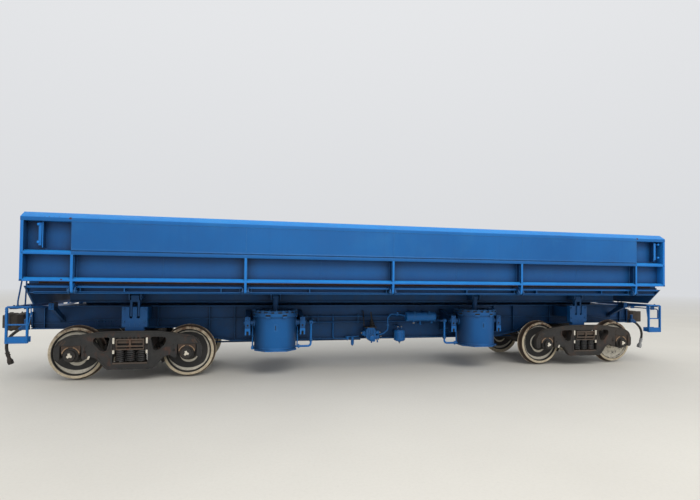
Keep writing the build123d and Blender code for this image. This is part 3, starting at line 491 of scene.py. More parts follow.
BLUE_CHORD = paint("blue_chord", dirt=0.03, chips=0.30, bright=0.95, soot_and_shade=0.55,
                  lines=((R(2.547), 0.006, 0.75), (R(1.664), 0.005, 0.35)),
                  spots=((-5.015, -1.598, R(2.540), 0.020), (5.012, -1.598, R(2.540), 0.022), (-5.122, -1.598, R(1.635), 0.016),
                         (-5.355, -1.590, R(2.556), 0.008), (-5.300, -1.588, R(2.558), 0.010), (-5.235, -1.590, R(2.556), 0.007),
                         (-5.170, -1.588, R(2.558), 0.009), (-4.640, -1.590, R(2.555), 0.006), (2.140, -1.590, R(2.555), 0.007),
                         (5.000, 1.598, R(2.540), 0.020), (-4.980, 1.598, R(1.640), 0.018)))
BLUE_STEP = paint("blue_step", dirt=0.14, chips=0.30, bright=1.02, floorward=0.6, soot_and_shade=0.40)
BLUE_BRIGHT = paint("blue_bracket", dirt=0.16, chips=0.15, bright=0.76, floorward=0.6, soot_and_shade=0.60)
# shade_from paints a shadow on the sill above its top flange, under the door
BLUE_SILL = paint("blue_sill", dirt=0.20, chips=0.22, dull=0.05, bright=0.80, soot_and_shade=0.62, shade_from=R(1.548))
# brighter copy: painted highlight along the upper flange lip of the side sill
BLUE_LIP = paint("blue_lip", dirt=0.10, chips=0.25, bright=1.02, soot_and_shade=0.35)
# near-black copy: painted shade on faces turned from the light
BLUE_INNER = paint("blue_inner", dirt=0.20, chips=0.05, dull=0.06, bright=0.36, soot_and_shade=0.90)
# darker still: grime and painted shade on the beams under the body
BLUE_DARK = paint("blue_beam", dirt=0.45, chips=0.20, dull=0.12, bright=0.42, floorward=1.5, soot_and_shade=0.80)
# nearly black copy: the cylinder lug's slot, painted shade, and the dark cap split lines on the hangers
SLOT_DARK = paint("blue_slot", dirt=0.60, chips=0.10, dull=0.20, bright=0.18, floorward=2.0)
ADAPTER = casting("bearing_adapter", base=(0.036, 0.025, 0.019), brown=(0.080, 0.047, 0.029), dust_amount=0.45, grit=0.8)
# near-black casting put in holes, pockets and gaps: painted shade
HOLE_SHADE = casting("deep_hole", base=(0.003, 0.003, 0.003), brown=(0.006, 0.005, 0.005), dust_amount=0.03, grit=0.4, rubbed=(0.008, 0.008, 0.008))
FLOOR_WEAR = load_floor("load_floor_steel")
RUBBER = rubber("hose_rubber")


# ============================================================ mesh helpers
def link(obj):
    bpy.context.scene.collection.objects.link(obj)
    return obj


def to_object(bm, name, body, mats, bevel=0.0, seg=2, angle=35.0, smooth=True, replaces=()):
    bmesh.ops.recalc_face_normals(bm, faces=bm.faces)
    me = bpy.data.meshes.new(name)
    bm.to_mesh(me)
    bm.free()
    mats = mats if isinstance(mats, (list, tuple)) else [mats]
    for m in mats:
        me.materials.append(m)
    obj = link(bpy.data.objects.new(name, me))
    if smooth:
        me.shade_smooth()
        me.set_sharp_from_angle(angle=radians(angle))
    if bevel:
        b = obj.modifiers.new("edge", "BEVEL")
        b.width, b.segments, b.limit_method, b.angle_limit = bevel, seg, "ANGLE", radians(angle)
        b.harden_normals = True
        b.use_clamp_overlap = True
    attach(obj, body)
    if replaces:
        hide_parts(*replaces)
    return obj


def add_box(bm, c, s, mat=0, rot=None):
    """Box by its centre and full sizes; rot is a matrix about the centre."""
    m = Matrix.Translation(Vector(c))
    if rot is not None:
        m = m @ rot
    m = m @ Matrix.Diagonal((*s, 1))
    out = bmesh.ops.create_cube(bm, size=1.0, matrix=m)
    for f in {f for v in out["verts"] for f in v.link_faces}:
        f.material_index = mat
    return out["verts"]


def frame_to(direction):
    """Rotation that takes +Z to direction."""
    return Vector(direction).normalized().to_track_quat("Z", "Y").to_matrix().to_4x4()


def add_lathe(bm, profile, origin, direction, segs=32, mats=0, arc=2 * pi):
    """profile: (distance along direction, radius), spun about direction through origin.
    mats: one index, or one for each profile span."""
    rot = frame_to(direction)
    o = Vector(origin)
    rings = []
    full = abs(arc - 2 * pi) < 1e-6
    count = segs if full else segs + 1
    for a, r in profile:
        if r < 1e-6:
            rings.append([bm.verts.new(o + rot @ Vector((0, 0, a)))])
        else:
            rings.append([bm.verts.new(o + rot @ Vector((r * cos(arc * k / segs), r * sin(arc * k / segs), a)))
                          for k in range(count)])
    faces = []
    for i, (p, q) in enumerate(zip(rings, rings[1:])):
        mi = mats[i] if isinstance(mats, (list, tuple)) else mats
        n = segs
        for k in range(n):
            k2 = (k + 1) % count if full else k + 1
            if len(p) == 1 and len(q) == 1:
                continue
            if len(p) == 1:
                vs = (p[0], q[k2], q[k])
            elif len(q) == 1:
                vs = (p[k], p[k2], q[0])
            else:
                vs = (p[k], p[k2], q[k2], q[k])
            f = bm.faces.new(vs)
            f.material_index = mi
            f.smooth = True
            faces.append(f)
    return faces


def rod(bm, a, b, r, segs=16, mat=0, chamfer=None):
    """Round bar from a to b with chamfered ends."""
    a, b = Vector(a), Vector(b)
    L = (b - a).length
    c = min(r * 0.25, L * 0.2) if chamfer is None else chamfer
    add_lathe(bm, [(0, 0), (0, r - c), (c, r), (L - c, r), (L, r - c), (L, 0)], a, b - a, segs, mat)


def rounded(points, radius, n=4):
    """2D outline with its corners rounded; radius one number or one for each corner."""
    out = []
    N = len(points)
    for i in range(N):
        p, q, s = Vector(points[i - 1]), Vector(points[i]), Vector(points[(i + 1) % N])
        r = radius[i] if isinstance(radius, (list, tuple)) else radius
        a, b = (p - q), (s - q)
        la, lb = a.length, b.length
        if la < 1e-9 or lb < 1e-9 or r <= 0:
            out.append(tuple(q))
            continue
        a.normalize(); b.normalize()
        ang = a.angle(b)
        if ang > pi - 0.05:
            out.append(tuple(q))
            continue
        d = min(r / tan(ang / 2), 0.48 * la, 0.48 * lb)
        rr = d * tan(ang / 2)
        mid = (a + b).normalized()
        c = q + mid * (rr / sin(ang / 2))
        t0, t1 = q + a * d, q + b * d
        v0, v1 = t0 - c, t1 - c
        sweep = v0.angle(v1)
        cross = v0.x * v1.y - v0.y * v1.x
        for k in range(n + 1):
            th = sweep * k / n * (1 if cross > 0 else -1)
            out.append((c.x + v0.x * cos(th) - v0.y * sin(th), c.y + v0.x * sin(th) + v0.y * cos(th)))
    return out


def round_path(points, radius, n=5):
    """3D open path with its inner corners rounded, for pipes and bent bars."""
    pts = [Vector(p) for p in points]
    out = [pts[0]]
    for i in range(1, len(pts) - 1):
        p, q, s = pts[i - 1], pts[i], pts[i + 1]
        a, b = (p - q), (s - q)
        la, lb = a.length, b.length
        a.normalize(); b.normalize()
        ang = a.angle(b)
        if ang > pi - 0.03:
            out.append(q)
            continue
        r = radius[i - 1] if isinstance(radius, (list, tuple)) else radius
        d = min(r / tan(ang / 2), 0.49 * la, 0.49 * lb)
        rr = d * tan(ang / 2)
        c = q + (a + b).normalized() * (rr / sin(ang / 2))
        v0, v1 = q + a * d - c, q + b * d - c
        axis = v0.cross(v1).normalized()
        sweep = v0.angle(v1)
        for k in range(n + 1):
            out.append(c + Matrix.Rotation(sweep * k / n, 3, axis) @ v0)
    out.append(pts[-1])
    return out


def add_tube(bm, path, r, sides=10, mat=0, caps=True):
    """Round tube along a path; r one number or one for each point."""
    pts = [Vector(p) for p in path]
    clean = [pts[0]]
    rs = [r[0] if isinstance(r, (list, tuple)) else r]
    for i, p in enumerate(pts[1:], 1):
        if (p - clean[-1]).length > 1e-5:
            clean.append(p)
            rs.append(r[i] if isinstance(r, (list, tuple)) else r)
    pts = clean
    n = len(pts)
    tans = []
    for i in range(n):
        a = pts[max(i - 1, 0)]
        b = pts[min(i + 1, n - 1)]
        t = (b - a)
        if 0 < i < n - 1:
            t = (pts[i] - pts[i - 1]).normalized() + (pts[i + 1] - pts[i]).normalized()
        tans.append(t.normalized())
    ref = Vector((0, 0, 1)) if abs(tans[0].z) < 0.9 else Vector((1, 0, 0))
    u = tans[0].cross(ref).normalized()
    rings = []
    for i in range(n):
        if i:
            u = (u - tans[i] * u.dot(tans[i]))
            u.normalize()
        v = tans[i].cross(u)
        rings.append([bm.verts.new(pts[i] + (u * cos(2 * pi * k / sides) + v * sin(2 * pi * k / sides)) * rs[i])
                      for k in range(sides)])
    for p, q in zip(rings, rings[1:]):
        for k in range(sides):
            f = bm.faces.new((p[k], p[(k + 1) % sides], q[(k + 1) % sides], q[k]))
            f.material_index = mat
            f.smooth = True
    if caps:
        for ring, flip in ((rings[0], True), (rings[-1], False)):
            f = bm.faces.new(ring[::-1] if flip else ring)
            f.material_index = mat


def add_prism(bm, outline, place, depth, mat=0, holes=()):
    """Flat plate: outline in 2D, put into space by place(x, y) -> point, thick by the vector depth."""
    depth = Vector(depth)
    loops = [outline, *holes]
    edges = []
    for loop in loops:
        vs = [bm.verts.new(place(*p)) for p in loop]
        edges += [bm.edges.new((vs[i], vs[(i + 1) % len(vs)])) for i in range(len(vs))]
    filled = bmesh.ops.triangle_fill(bm, edges=edges, use_beauty=True, use_dissolve=False)
    faces = [g for g in filled["geom"] if isinstance(g, bmesh.types.BMFace)]
    for f in faces:
        f.material_index = mat
    ext = bmesh.ops.extrude_face_region(bm, geom=faces, use_keep_orig=True)
    vs = [g for g in ext["geom"] if isinstance(g, bmesh.types.BMVert)]
    bmesh.ops.translate(bm, vec=depth, verts=vs)
    for f in {f for v in vs for f in v.link_faces}:
        f.material_index = mat
    return faces


def hexagon(bm, at, direction, across, height, mat=0, washer=True, stud=0.0):
    """Hexagon bolt head or nut on a washer, standing off along direction."""
    at, d = Vector(at), Vector(direction).normalized()
    rot = frame_to(d)
    r = across / sqrt(3)
    z = 0.0
    if washer:
        add_lathe(bm, [(0, 0), (0, across * 0.66), (height * 0.18, across * 0.66), (height * 0.18, 0)], at, d, 16, mat)
        z = height * 0.18
    ch = height * 0.16
    rings = []
    for zz, rr in ((z, r), (z + height - ch, r), (z + height, r * 0.86)):
        rings.append([bm.verts.new(at + rot @ Vector((rr * cos(pi / 3 * k), rr * sin(pi / 3 * k), zz))) for k in range(6)])
    for p, q in zip(rings, rings[1:]):
        for k in range(6):
            bm.faces.new((p[k], p[(k + 1) % 6], q[(k + 1) % 6], q[k])).material_index = mat
    bm.faces.new(rings[-1]).material_index = mat
    bm.faces.new(rings[0][::-1]).material_index = mat
    if stud:
        rod(bm, at + d * (z + height - 0.001), at + d * (z + height + stud), across * 0.32, 10, mat)


def rivet(bm, at, direction, r, mat=0):
    prof = [(r * 0.75 * sin(t), r * cos(t)) for t in (0, 0.4, 0.8, 1.15)] + [(r * 0.75, 0)]
    add_lathe(bm, [(-0.001, 0), (-0.001, r)] + prof, at, direction, 12, mat)


def weld(bm, a, b, size=0.007, mat=0, pitch=0.012, seed=0):
    """A run of weld: a small ripple bead from a to b."""
    a, b = Vector(a), Vector(b)
    L = (b - a).length
    n = max(2, min(240, int(L / pitch)))
    path = [a.lerp(b, k / n) for k in range(n + 1)]
    rs = [size * (0.86 + 0.20 * ((k * 37 + seed * 17) % 5) / 4 + (0.12 if k % 2 else 0)) for k in range(n + 1)]
    add_tube(bm, path, rs, 6, mat)


def node_copy(node, name, mats, body=None, bevel=0.004, seg=2, angle=32, edit=None, merge=2e-5, flat=1.5):
    """The CAD node's shape with its edges rounded, standing for the node."""
    src = NODES[node]
    bm = bmesh.new()
    bm.from_mesh(src.data)
    bmesh.ops.remove_doubles(bm, verts=bm.verts, dist=merge)
    for lay in list(bm.loops.layers.float_vector) + list(bm.loops.layers.uv):
        try:
            (bm.loops.layers.float_vector if "custom" in lay.name else bm.loops.layers.uv).remove(lay)
        except Exception:
            pass
    for f in bm.faces:
        f.material_index = 0
    bmesh.ops.dissolve_limit(bm, angle_limit=radians(flat), verts=bm.verts, edges=bm.edges, delimit={"NORMAL"})
    if edit:
        edit(bm)
    obj = to_object(bm, name, body or src["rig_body"], mats, bevel, seg, angle, replaces=(node,))
    for a in list(obj.data.attributes):
        if a.name == "custom_normal":
            obj.data.attributes.remove(a)
    return obj


# =============================================================== brake hoses
HOSE_Y = 0.350
hose_route = [(6.205, R(0.768)), (6.315, R(0.690)), (6.385, R(0.575)), (6.398, R(0.440)), (6.360, R(0.318))]
for end, sx in ENDS:
    y = -HOSE_Y
    pts = [(sx * x, y, z) for x, z in hose_route]
    cu = bpy.data.curves.new("hose_%s" % end, "CURVE")
    cu.dimensions = "3D"
    sp = cu.splines.new("NURBS")
    sp.points.add(len(pts) - 1)
    for p, q in zip(sp.points, pts):
        p.co = (*q, 1)
    sp.order_u = 3
    sp.use_endpoint_u = True
    cu.resolution_u = 12
    cu.bevel_depth = 0.024
    cu.bevel_resolution = 5
    cu.use_fill_caps = True
    cu.materials.append(RUBBER)
    hose = link(bpy.data.objects.new("hose_%s" % end, cu))
    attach(hose, "underframe")
    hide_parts("brake_hose_%s" % end)

    e, d = Vector(pts[-1]), (Vector(pts[-1]) - Vector(pts[-2])).normalized()
    side = Vector((0, 1, 0))
    lift = d.cross(side)
    bm = bmesh.new()
    # ribbed ferrule, band clamps and the claw head that mates with the next car's
    add_lathe(bm, [(-0.075, 0.0245), (-0.075, 0.031), (-0.066, 0.033), (-0.052, 0.033), (-0.050, 0.029), (-0.030, 0.029),
                   (-0.028, 0.033), (-0.012, 0.033), (-0.010, 0.028), (0.030, 0.027), (0.052, 0.034), (0.075, 0.030),
                   (0.075, 0)], e, d, 24, 0)
    rod(bm, e - d * 0.060 + lift * 0.028 - side * 0.022, e - d * 0.060 + lift * 0.028 + side * 0.022, 0.006, 8, 0)
    rod(bm, e - d * 0.020 + lift * 0.028 - side * 0.022, e - d * 0.020 + lift * 0.028 + side * 0.022, 0.006, 8, 0)
    rot = Matrix((side, lift, d)).transposed().to_4x4()
    add_prism(bm, rounded([(-0.030, 0.045), (0.030, 0.045), (0.034, 0.100), (0.022, 0.140), (-0.034, 0.142), (-0.036, 0.090)], 0.012, 3),
              lambda x, z: e + side * x + d * z - lift * 0.026, lift * 0.052, 0)
    add_lathe(bm, [(-0.034, 0), (-0.034, 0.032), (-0.028, 0.036), (0.006, 0.036), (0.012, 0.030), (0.012, 0.019), (0.004, 0.018), (0.004, 0)],
              e + d * 0.098, side, 24, 0)
    add_prism(bm, rounded([(0.028, 0.060), (0.038, 0.072), (0.036, 0.128), (0.026, 0.144)], 0.004, 2),
              lambda x, z: e + side * x + d * z - lift * 0.033, lift * 0.066, 0)
    head = to_object(bm, "hose_claw_%s" % end, "underframe", [COUPLER if end == "a" else PALE_HEAD], 0.0025, 2, 38,
                     replaces=("hose_coupling_%s" % end,))


# ============================================================== small shapes
def rbox(bm, lo, hi, mat=0):
    return add_box(bm, [(a + b) / 2 for a, b in zip(lo, hi)], [abs(b - a) for a, b in zip(lo, hi)], mat)


def slab_x(bm, outline, x0, x1, mat=0, holes=()):
    """Plate across X: outline as (y, z)."""
    return add_prism(bm, outline, lambda y, z: Vector((x0, y, z)), (x1 - x0, 0, 0), mat, holes)


def slab_y(bm, outline, y0, y1, mat=0, holes=()):
    """Plate across Y: outline as (x, z)."""
    return add_prism(bm, outline, lambda x, z: Vector((x, y0, z)), (0, y1 - y0, 0), mat, holes)


def slab_z(bm, outline, z0, z1, mat=0, holes=()):
    """Plate across Z: outline as (x, y)."""
    return add_prism(bm, outline, lambda x, y: Vector((x, y, z0)), (0, 0, z1 - z0), mat, holes)


def circle(cx, cy, r, n=24, a0=0.0):
    return [(cx + r * cos(a0 + 2 * pi * k / n), cy + r * sin(a0 + 2 * pi * k / n)) for k in range(n)]


def grow(points, d):
    """A convex outline moved outward by d."""
    cx = sum(p[0] for p in points) / len(points)
    cy = sum(p[1] for p in points) / len(points)
    n = len(points)
    out = []
    for i in range(n):
        p, q, s = Vector(points[i - 1]), Vector(points[i]), Vector(points[(i + 1) % n])
        e1, e2 = (q - p).normalized(), (s - q).normalized()
        m = Vector((e1.y, -e1.x)) + Vector((e2.y, -e2.x))
        if m.length < 1e-6:
            m = Vector((e1.y, -e1.x))
        m.normalize()
        if m.dot(q - Vector((cx, cy))) < 0:
            m = -m
        out.append((q.x + m.x * d, q.y + m.y * d))
    return out


def ribbon(path, width):
    """Closed outline of a strip that runs along an open 2D path, to its left."""
    n = len(path)
    inner = []
    for i in range(n):
        p, s = Vector(path[max(i - 1, 0)]), Vector(path[min(i + 1, n - 1)])
        t = (s - p).normalized()
        inner.append((path[i][0] - t.y * width, path[i][1] + t.x * width))
    return list(path) + inner[::-1]


def bend(points, radius, n=4):
    """Open 2D path with rounded corners."""
    return [(p.x, p.y) for p in round_path([(x, y, 0) for x, y in points], radius, n)]


def pipe(bm, points, r, radius=0.05, sides=12, mat=0):
    add_tube(bm, round_path(points, radius, 6), r, sides, mat)


def coupling(bm, at, direction, r, length, mat=0):
    """Pipe union: a hexagon nut between two collars."""
    at, d = Vector(at), Vector(direction).normalized()
    add_lathe(bm, [(-length / 2, 0), (-length / 2, r * 1.25), (length / 2, r * 1.25), (length / 2, 0)], at, d, 16, mat)
    hexagon(bm, at - d * length * 0.22, d, r * 3.3, length * 0.44, mat, False)


# ============================================================== centre sill
SILL = [(0, .500), (2.750, .500), (3.250, .600), (3.500, .760), (6.063, .760)]


def sill_low(x):
    x = abs(x)
    for (x0, z0), (x1, z1) in zip(SILL, SILL[1:]):
        if x <= x1:
            return R(z0 + (z1 - z0) * (x - x0) / (x1 - x0))
    return R(SILL[-1][1])


low_line = [(-x, R(z)) for x, z in SILL[:0:-1]] + [(x, R(z)) for x, z in SILL]
bm = bmesh.new()
TOP = R(1.165)
slab_y(bm, [(x, z + 0.010) for x, z in low_line] + [(6.060, TOP - 0.010), (-6.060, TOP - 0.010)], -0.236, 0.236)
slab_y(bm, low_line + [(x, z + 0.018) for x, z in low_line[::-1]], -0.300, 0.300)
rbox(bm, (-6.063, -0.300, TOP - 0.018), (6.063, 0.300, TOP))
for sy in (-1, 1):
    for x in (2.68, 3.14, 4.03, 4.54, 5.86):
        for xs in (-x, x):
            z0 = sill_low(xs) + 0.018
            slab_y(bm, [(xs - 0.006, z0), (xs + 0.006, z0), (xs + 0.006, TOP - 0.018), (xs - 0.006, TOP - 0.018)],
                   sy * 0.236, sy * 0.290)
    # ledge strips on the web over the bogies, a dished cover plate under each
    for sx in (-1, 1):
        ledge = bend([(sx * 6.035, R(0.850)), (sx * 5.480, R(0.857)), (sx * 5.120, R(0.908)), (sx * 2.560, R(0.915))], 0.10, 4)
        strip = ribbon(ledge, 0.012)
        slab_y(bm, strip, sy * 0.236, sy * 0.262)
        weld(bm, (sx * 5.10, sy * 0.238, R(0.905)), (sx * 2.60, sy * 0.238, R(0.912)), 0.006, 0, 0.04)
        slab_y(bm, rounded([(sx * 5.075, R(0.790)), (sx * 4.760, R(0.790)), (sx * 4.760, R(0.892)), (sx * 5.075, R(0.892))], 0.02, 3),
               sy * 0.236, sy * 0.246)
        for k in range(5):
            hexagon(bm, (sx * (4.815 + 0.053 * k), sy * 0.246, R(0.872)), (0, sy, 0), 0.026, 0.014)
            if k % 2 == 0:
                hexagon(bm, (sx * (4.815 + 0.053 * k), sy * 0.246, R(0.808)), (0, sy, 0), 0.026, 0.014)
        # round hand holes with pressed rims
        for x in (1.62, 2.25):
            add_lathe(bm, [(0, 0.058), (0, 0.074), (0.010, 0.072), (0.014, 0.062), (0.010, 0.052), (0, 0.050)],
                      (sx * x, sy * 0.236, R(0.640)), (0, sy, 0), 28)
    for x0, x1, z in ((-6.05, 6.05, TOP - 0.018),):
        weld(bm, (x0, sy * 0.238, z), (x1, sy * 0.238, z), 0.007, 0, 0.05)
    for (xa, za), (xb, zb) in zip(low_line, low_line[1:]):
        weld(bm, (xa, sy * 0.238, za + 0.018), (xb, sy * 0.238, zb + 0.018), 0.007, 0, 0.03)
# pipe for the tipping air, clipped along the top of the sill
pipe(bm, [(-5.30, 0, TOP + 0.036), (5.30, 0, TOP + 0.036)], 0.035, 0.05, 16)
for k in range(-6, 7):
    rbox(bm, (k * 0.82 - 0.02, -0.055, TOP), (k * 0.82 + 0.02, 0.055, TOP + 0.008))
    pipe(bm, [(k * 0.82, -0.044, TOP + 0.004), (k * 0.82, -0.044, TOP + 0.077), (k * 0.82, 0.044, TOP + 0.077),
              (k * 0.82, 0.044, TOP + 0.004)], 0.006, 0.04, 8)
# striker plates at the ends, with bolts, round the coupler shank
for sx in (-1, 1):
    for sy in (-1, 1):
        rbox(bm, (sx * 6.040, sy * 0.085, R(0.790)), (sx * 6.063, sy * 0.290, R(1.060)))
        for z in (0.83, 0.93, 1.02):
            hexagon(bm, (sx * 6.050, sy * 0.255, R(z)), (sx, 0, 0), 0.030, 0.012)
to_object(bm, "centre_sill_girder", "underframe", BLUE_UNDER, 0.003, 1, 40, replaces=("centre_sill",))

# ====================================================== end cross bars, hoops
bm = bmesh.new()
for sx in (-1, 1):
    x = sx * 5.950
    slab_x(bm, rounded([(-1.140, TOP), (1.140, TOP), (1.140, TOP + 0.045), (-1.140, TOP + 0.045)], 0.008, 2), x - 0.045, x + 0.045)
    for sy in (-1, 1):
        # gusset down to the sill's side
        slab_x(bm, [(sy * 0.296, TOP - 0.02), (sy * 0.62, TOP), (sy * 0.296, TOP)], x - 0.006, x + 0.006)
        hexagon(bm, (x, sy * 0.24, TOP + 0.045), (0, 0, 1), 0.030, 0.016)
        hexagon(bm, (x, sy * 0.14, TOP + 0.045), (0, 0, 1), 0.030, 0.016)
        hexagon(bm, (x, sy * 1.10, TOP + 0.045), (0, 0, 1), 0.026, 0.014)
    hoop = [(5.872, 1.160, R(1.215)), (5.872, 1.160, R(1.290)), (5.838, 1.065, R(1.800)), (5.900, 0.830, R(1.800)),
            (5.918, 0.830, TOP + 0.040)]
    pipe(bm, [(sx * a, sx * b, c) for a, b, c in hoop], 0.011, 0.055, 12)
    add_lathe(bm, [(0, 0), (0, 0.020), (0.012, 0.020), (0.014, 0.012), (0.030, 0.012)], (sx * 5.872, sx * 1.160, R(1.214)), (0, 0, 1), 14)
    add_lathe(bm, [(0, 0), (0, 0.024), (0.006, 0.024), (0.010, 0.013), (0.018, 0.012)], (sx * 5.918, sx * 0.830, TOP + 0.045), (0, 0, 1), 14)
to_object(bm, "end_cross_bars", "underframe", BLUE_UNDER, 0.003, 2, 40, replaces=("end_platform_frames",))

# ============================================================= corner steps
bm = bmesh.new()
for sx in (-1, 1):
    for sy in (-1, 1):
        y = sy * 1.160
        for xs, zt in ((5.737, 1.206), (6.018, 1.196)):
            slab_y(bm, [(sx * (xs - 0.013), R(0.645)), (sx * (xs + 0.013), R(0.645)), (sx * (xs + 0.013), R(zt)), (sx * (xs - 0.013), R(zt))],
                   y - 0.019, y + 0.019)
        # top bar, round, with its ends turned back
        pipe(bm, [(sx * 6.013, y, R(1.140)), (sx * 6.013, y, R(1.199)), (sx * 5.712, y, R(1.199)), (sx * 5.690, y, R(1.216))], 0.015, 0.012, 12)
        add_lathe(bm, [(-0.020, 0), (-0.020, 0.019), (0.020, 0.019), (0.020, 0)], (sx * 5.872, y, R(1.197)), (1, 0, 0), 14)
        # rung and its end pads
        pipe(bm, [(sx * 6.010, y, R(0.928)), (sx * 5.745, y, R(0.928))], 0.012, 0.02, 12)
        for xs in (5.752, 6.002):
            rbox(bm, (sx * xs - 0.004, y - 0.017, R(0.905)), (sx * xs + 0.004, y + 0.017, R(0.951)))
        # tread: a folded pan with a rolled lower edge
        y0, y1 = sy * 1.175, sy * 1.022
        slab_y(bm, rounded([(sx * 5.745, R(0.652)), (sx * 6.010, R(0.652)), (sx * 6.010, R(0.742)), (sx * 5.745, R(0.742))], 0.006, 2), y0, y0 - sy * 0.006)
        rbox(bm, (sx * 5.745, y0, R(0.650)), (sx * 6.010, y1, R(0.656)))
        slab_y(bm, [(sx * 5.745, R(0.652)), (sx * 6.010, R(0.652)), (sx * 6.010, R(0.735)), (sx * 5.745, R(0.735))], y1, y1 + sy * 0.006)
        pipe(bm, [(sx * 5.728, y0 - sy * 0.004, R(0.650)), (sx * 6.028, y0 - sy * 0.004, R(0.650))], 0.009, 0.02, 10)
        for k in range(7):
            pipe(bm, [(sx * (5.770 + 0.036 * k), y0, R(0.659)), (sx * (5.770 + 0.036 * k), y1, R(0.659))], 0.004, 0.02, 6)
        # bolts down the outer stile and at the corners
        for z in (1.165, 1.128, 1.090, 1.052):
            hexagon(bm, (sx * 6.030, y, R(z)), (sx, 0, 0), 0.021, 0.010, 0, False)
        for xs, z in ((5.737, 0.928), (6.018, 0.928), (5.737, 0.70), (6.018, 0.70), (5.737, 0.672)):
            hexagon(bm, (sx * xs, sy * 1.178, R(z)), (0, sy, 0), 0.020, 0.006, 0, False)
        # brace from the inner stile, and the arm in to the sill
        pipe(bm, [(sx * 5.730, y, R(0.905)), (sx * 5.716, y, R(0.950)), (sx * 5.690, y, R(1.120)), (sx * 5.690, y, R(1.190))], 0.009, 0.03, 8)
        slab_x(bm, [(sy * 1.150, R(1.180)), (sy * 1.150, R(1.210)), (sy * 0.300, R(1.165)), (sy * 0.300, R(1.130))],
               sx * 5.731, sx * 5.743)
to_object(bm, "corner_steps_shape", "underframe", BLUE_STEP, 0.002, 2, 40, replaces=("corner_steps",))

# =============================================================== body rests
bm = bmesh.new()
for sx in (-1, 1):
    for sy in (-1, 1):
        x = sx * 5.590
        slab_x(bm, rounded([(sy * 0.238, R(0.885)), (sy * 0.238, R(0.960)), (sy * 0.566, R(1.168)), (sy * 0.566, R(1.222)),
                            (sy * 0.712, R(1.222)), (sy * 0.712, R(1.125)), (sy * 0.655, R(1.108))], [0, 0, .03, .006, .012, .02, .02], 3),
               x - 0.030, x + 0.030)
        for s in (-1, 1):
            slab_x(bm, [(sy * 0.240, R(0.880)), (sy * 0.262, R(0.893)), (sy * 0.262, R(0.980)), (sy * 0.240, R(0.966))],
                   x + s * 0.030, x + s * 0.040)
        rbox(bm, (x - 0.040, sy * 0.562, R(1.124)), (x + 0.040, sy * 0.720, R(1.230)), 2)
        weld(bm, (x - 0.034, sy * 0.252, R(0.960)), (x - 0.034, sy * 0.252, R(0.892)), 0.006)
        rbox(bm, (x - 0.036, sy * 0.564, R(1.230)), (x + 0.036, sy * 0.714, R(1.240)), 1)
        for z in (1.150, 1.200):
            hexagon(bm, (x, sy * 0.716, R(z)), (0, sy, 0), 0.022, 0.006, 0, False)
to_object(bm, "body_rest_arms", "underframe", [BLUE_DARK, RUBBER, BLUE_CYL], 0.004, 2, 38, replaces=("body_rests",))

# ===================================================== plain carried-over nodes
def by_inner_y(limit):
    """Second material for faces that look inward at |y| below limit."""
    def edit(bm):
        for f in bm.faces:
            c = f.calc_center_median()
            if abs(c.y) < limit and abs(f.normal.y) > 0.7:
                f.material_index = 1
    return edit


def by_inner_x(limit):
    def edit(bm):
        for f in bm.faces:
            c = f.calc_center_median()
            if abs(c.x) < limit and abs(f.normal.x) > 0.7:
                f.material_index = 1
    return edit


def floor_edges(bm):
    for f in bm.faces:
        if f.normal.z < 0.7:
            f.material_index = 1


for node, mats, slot, bev, edit in (
        ("underframe_bolsters", BLUE_UNDER, "body_blue", 0.006, None),
        ("pivot_brackets", BLUE_BRIGHT, "body_blue", 0.007, None),
        ("cylinder_hangers", BLUE_CYL, "body_blue", 0.007, None),
        ("uncoupling_rods", BLUE_UNDER, "body_blue", 0.0, None),
        ("main_reservoir", BLUE_UNDER, "body_blue", 0.012, None),
        ("brake_cylinder", BLUE_UNDER, "body_blue", 0.010, None),
        ("brake_rods", BLUE_UNDER, "body_blue", 0.0, None),
        ("angle_cocks", BLUE_UNDER, "body_blue", 0.006, None),
        ("floor_plate", [FLOOR_WEAR, RUSTY], "floor_wear", 0.003, floor_edges),
        ("side_sills", BLUE_SILL, "body_blue", 0.003, None),
        ("main_beams", BLUE_DARK, "body_blue", 0.004, None),
        ("cross_beams", BLUE_DARK, "body_blue", 0.003, None),
        ("end_walls", [BLUE_BODY, FLOOR_WEAR], "body_blue", 0.005, by_inner_x(5.4805)),
        ("pivot_lugs", BLUE_DARK, "body_blue", 0.004, None),
        ("door_hinge_lugs", BLUE_UNDER, "body_blue", 0.003, None),
        ("near_saddle_blocks", BLUE_UNDER, "body_blue", 0.005, None),
        ("far_saddle_blocks", BLUE_UNDER, "body_blue", 0.005, None),
        ("near_door_panel", [BLUE_PANEL, FLOOR_WEAR], "body_blue", 0.0, by_inner_y(1.4505)),
        ("far_door_panel", [BLUE_PANEL, FLOOR_WEAR], "body_blue", 0.0, by_inner_y(1.4505)),
        ("near_cylinder_sleeves", STEEL_ROD, "rod_steel", 0.003, None),
        ("far_cylinder_sleeves", STEEL_ROD, "rod_steel", 0.003, None),
        ("near_cylinder_rods", BLUE_UNDER, "body_blue", 0.003, None),
        ("far_cylinder_rods", BLUE_UNDER, "body_blue", 0.003, None),
):
    node_copy(node, node + "_shape", mats, bevel=bev, edit=edit)

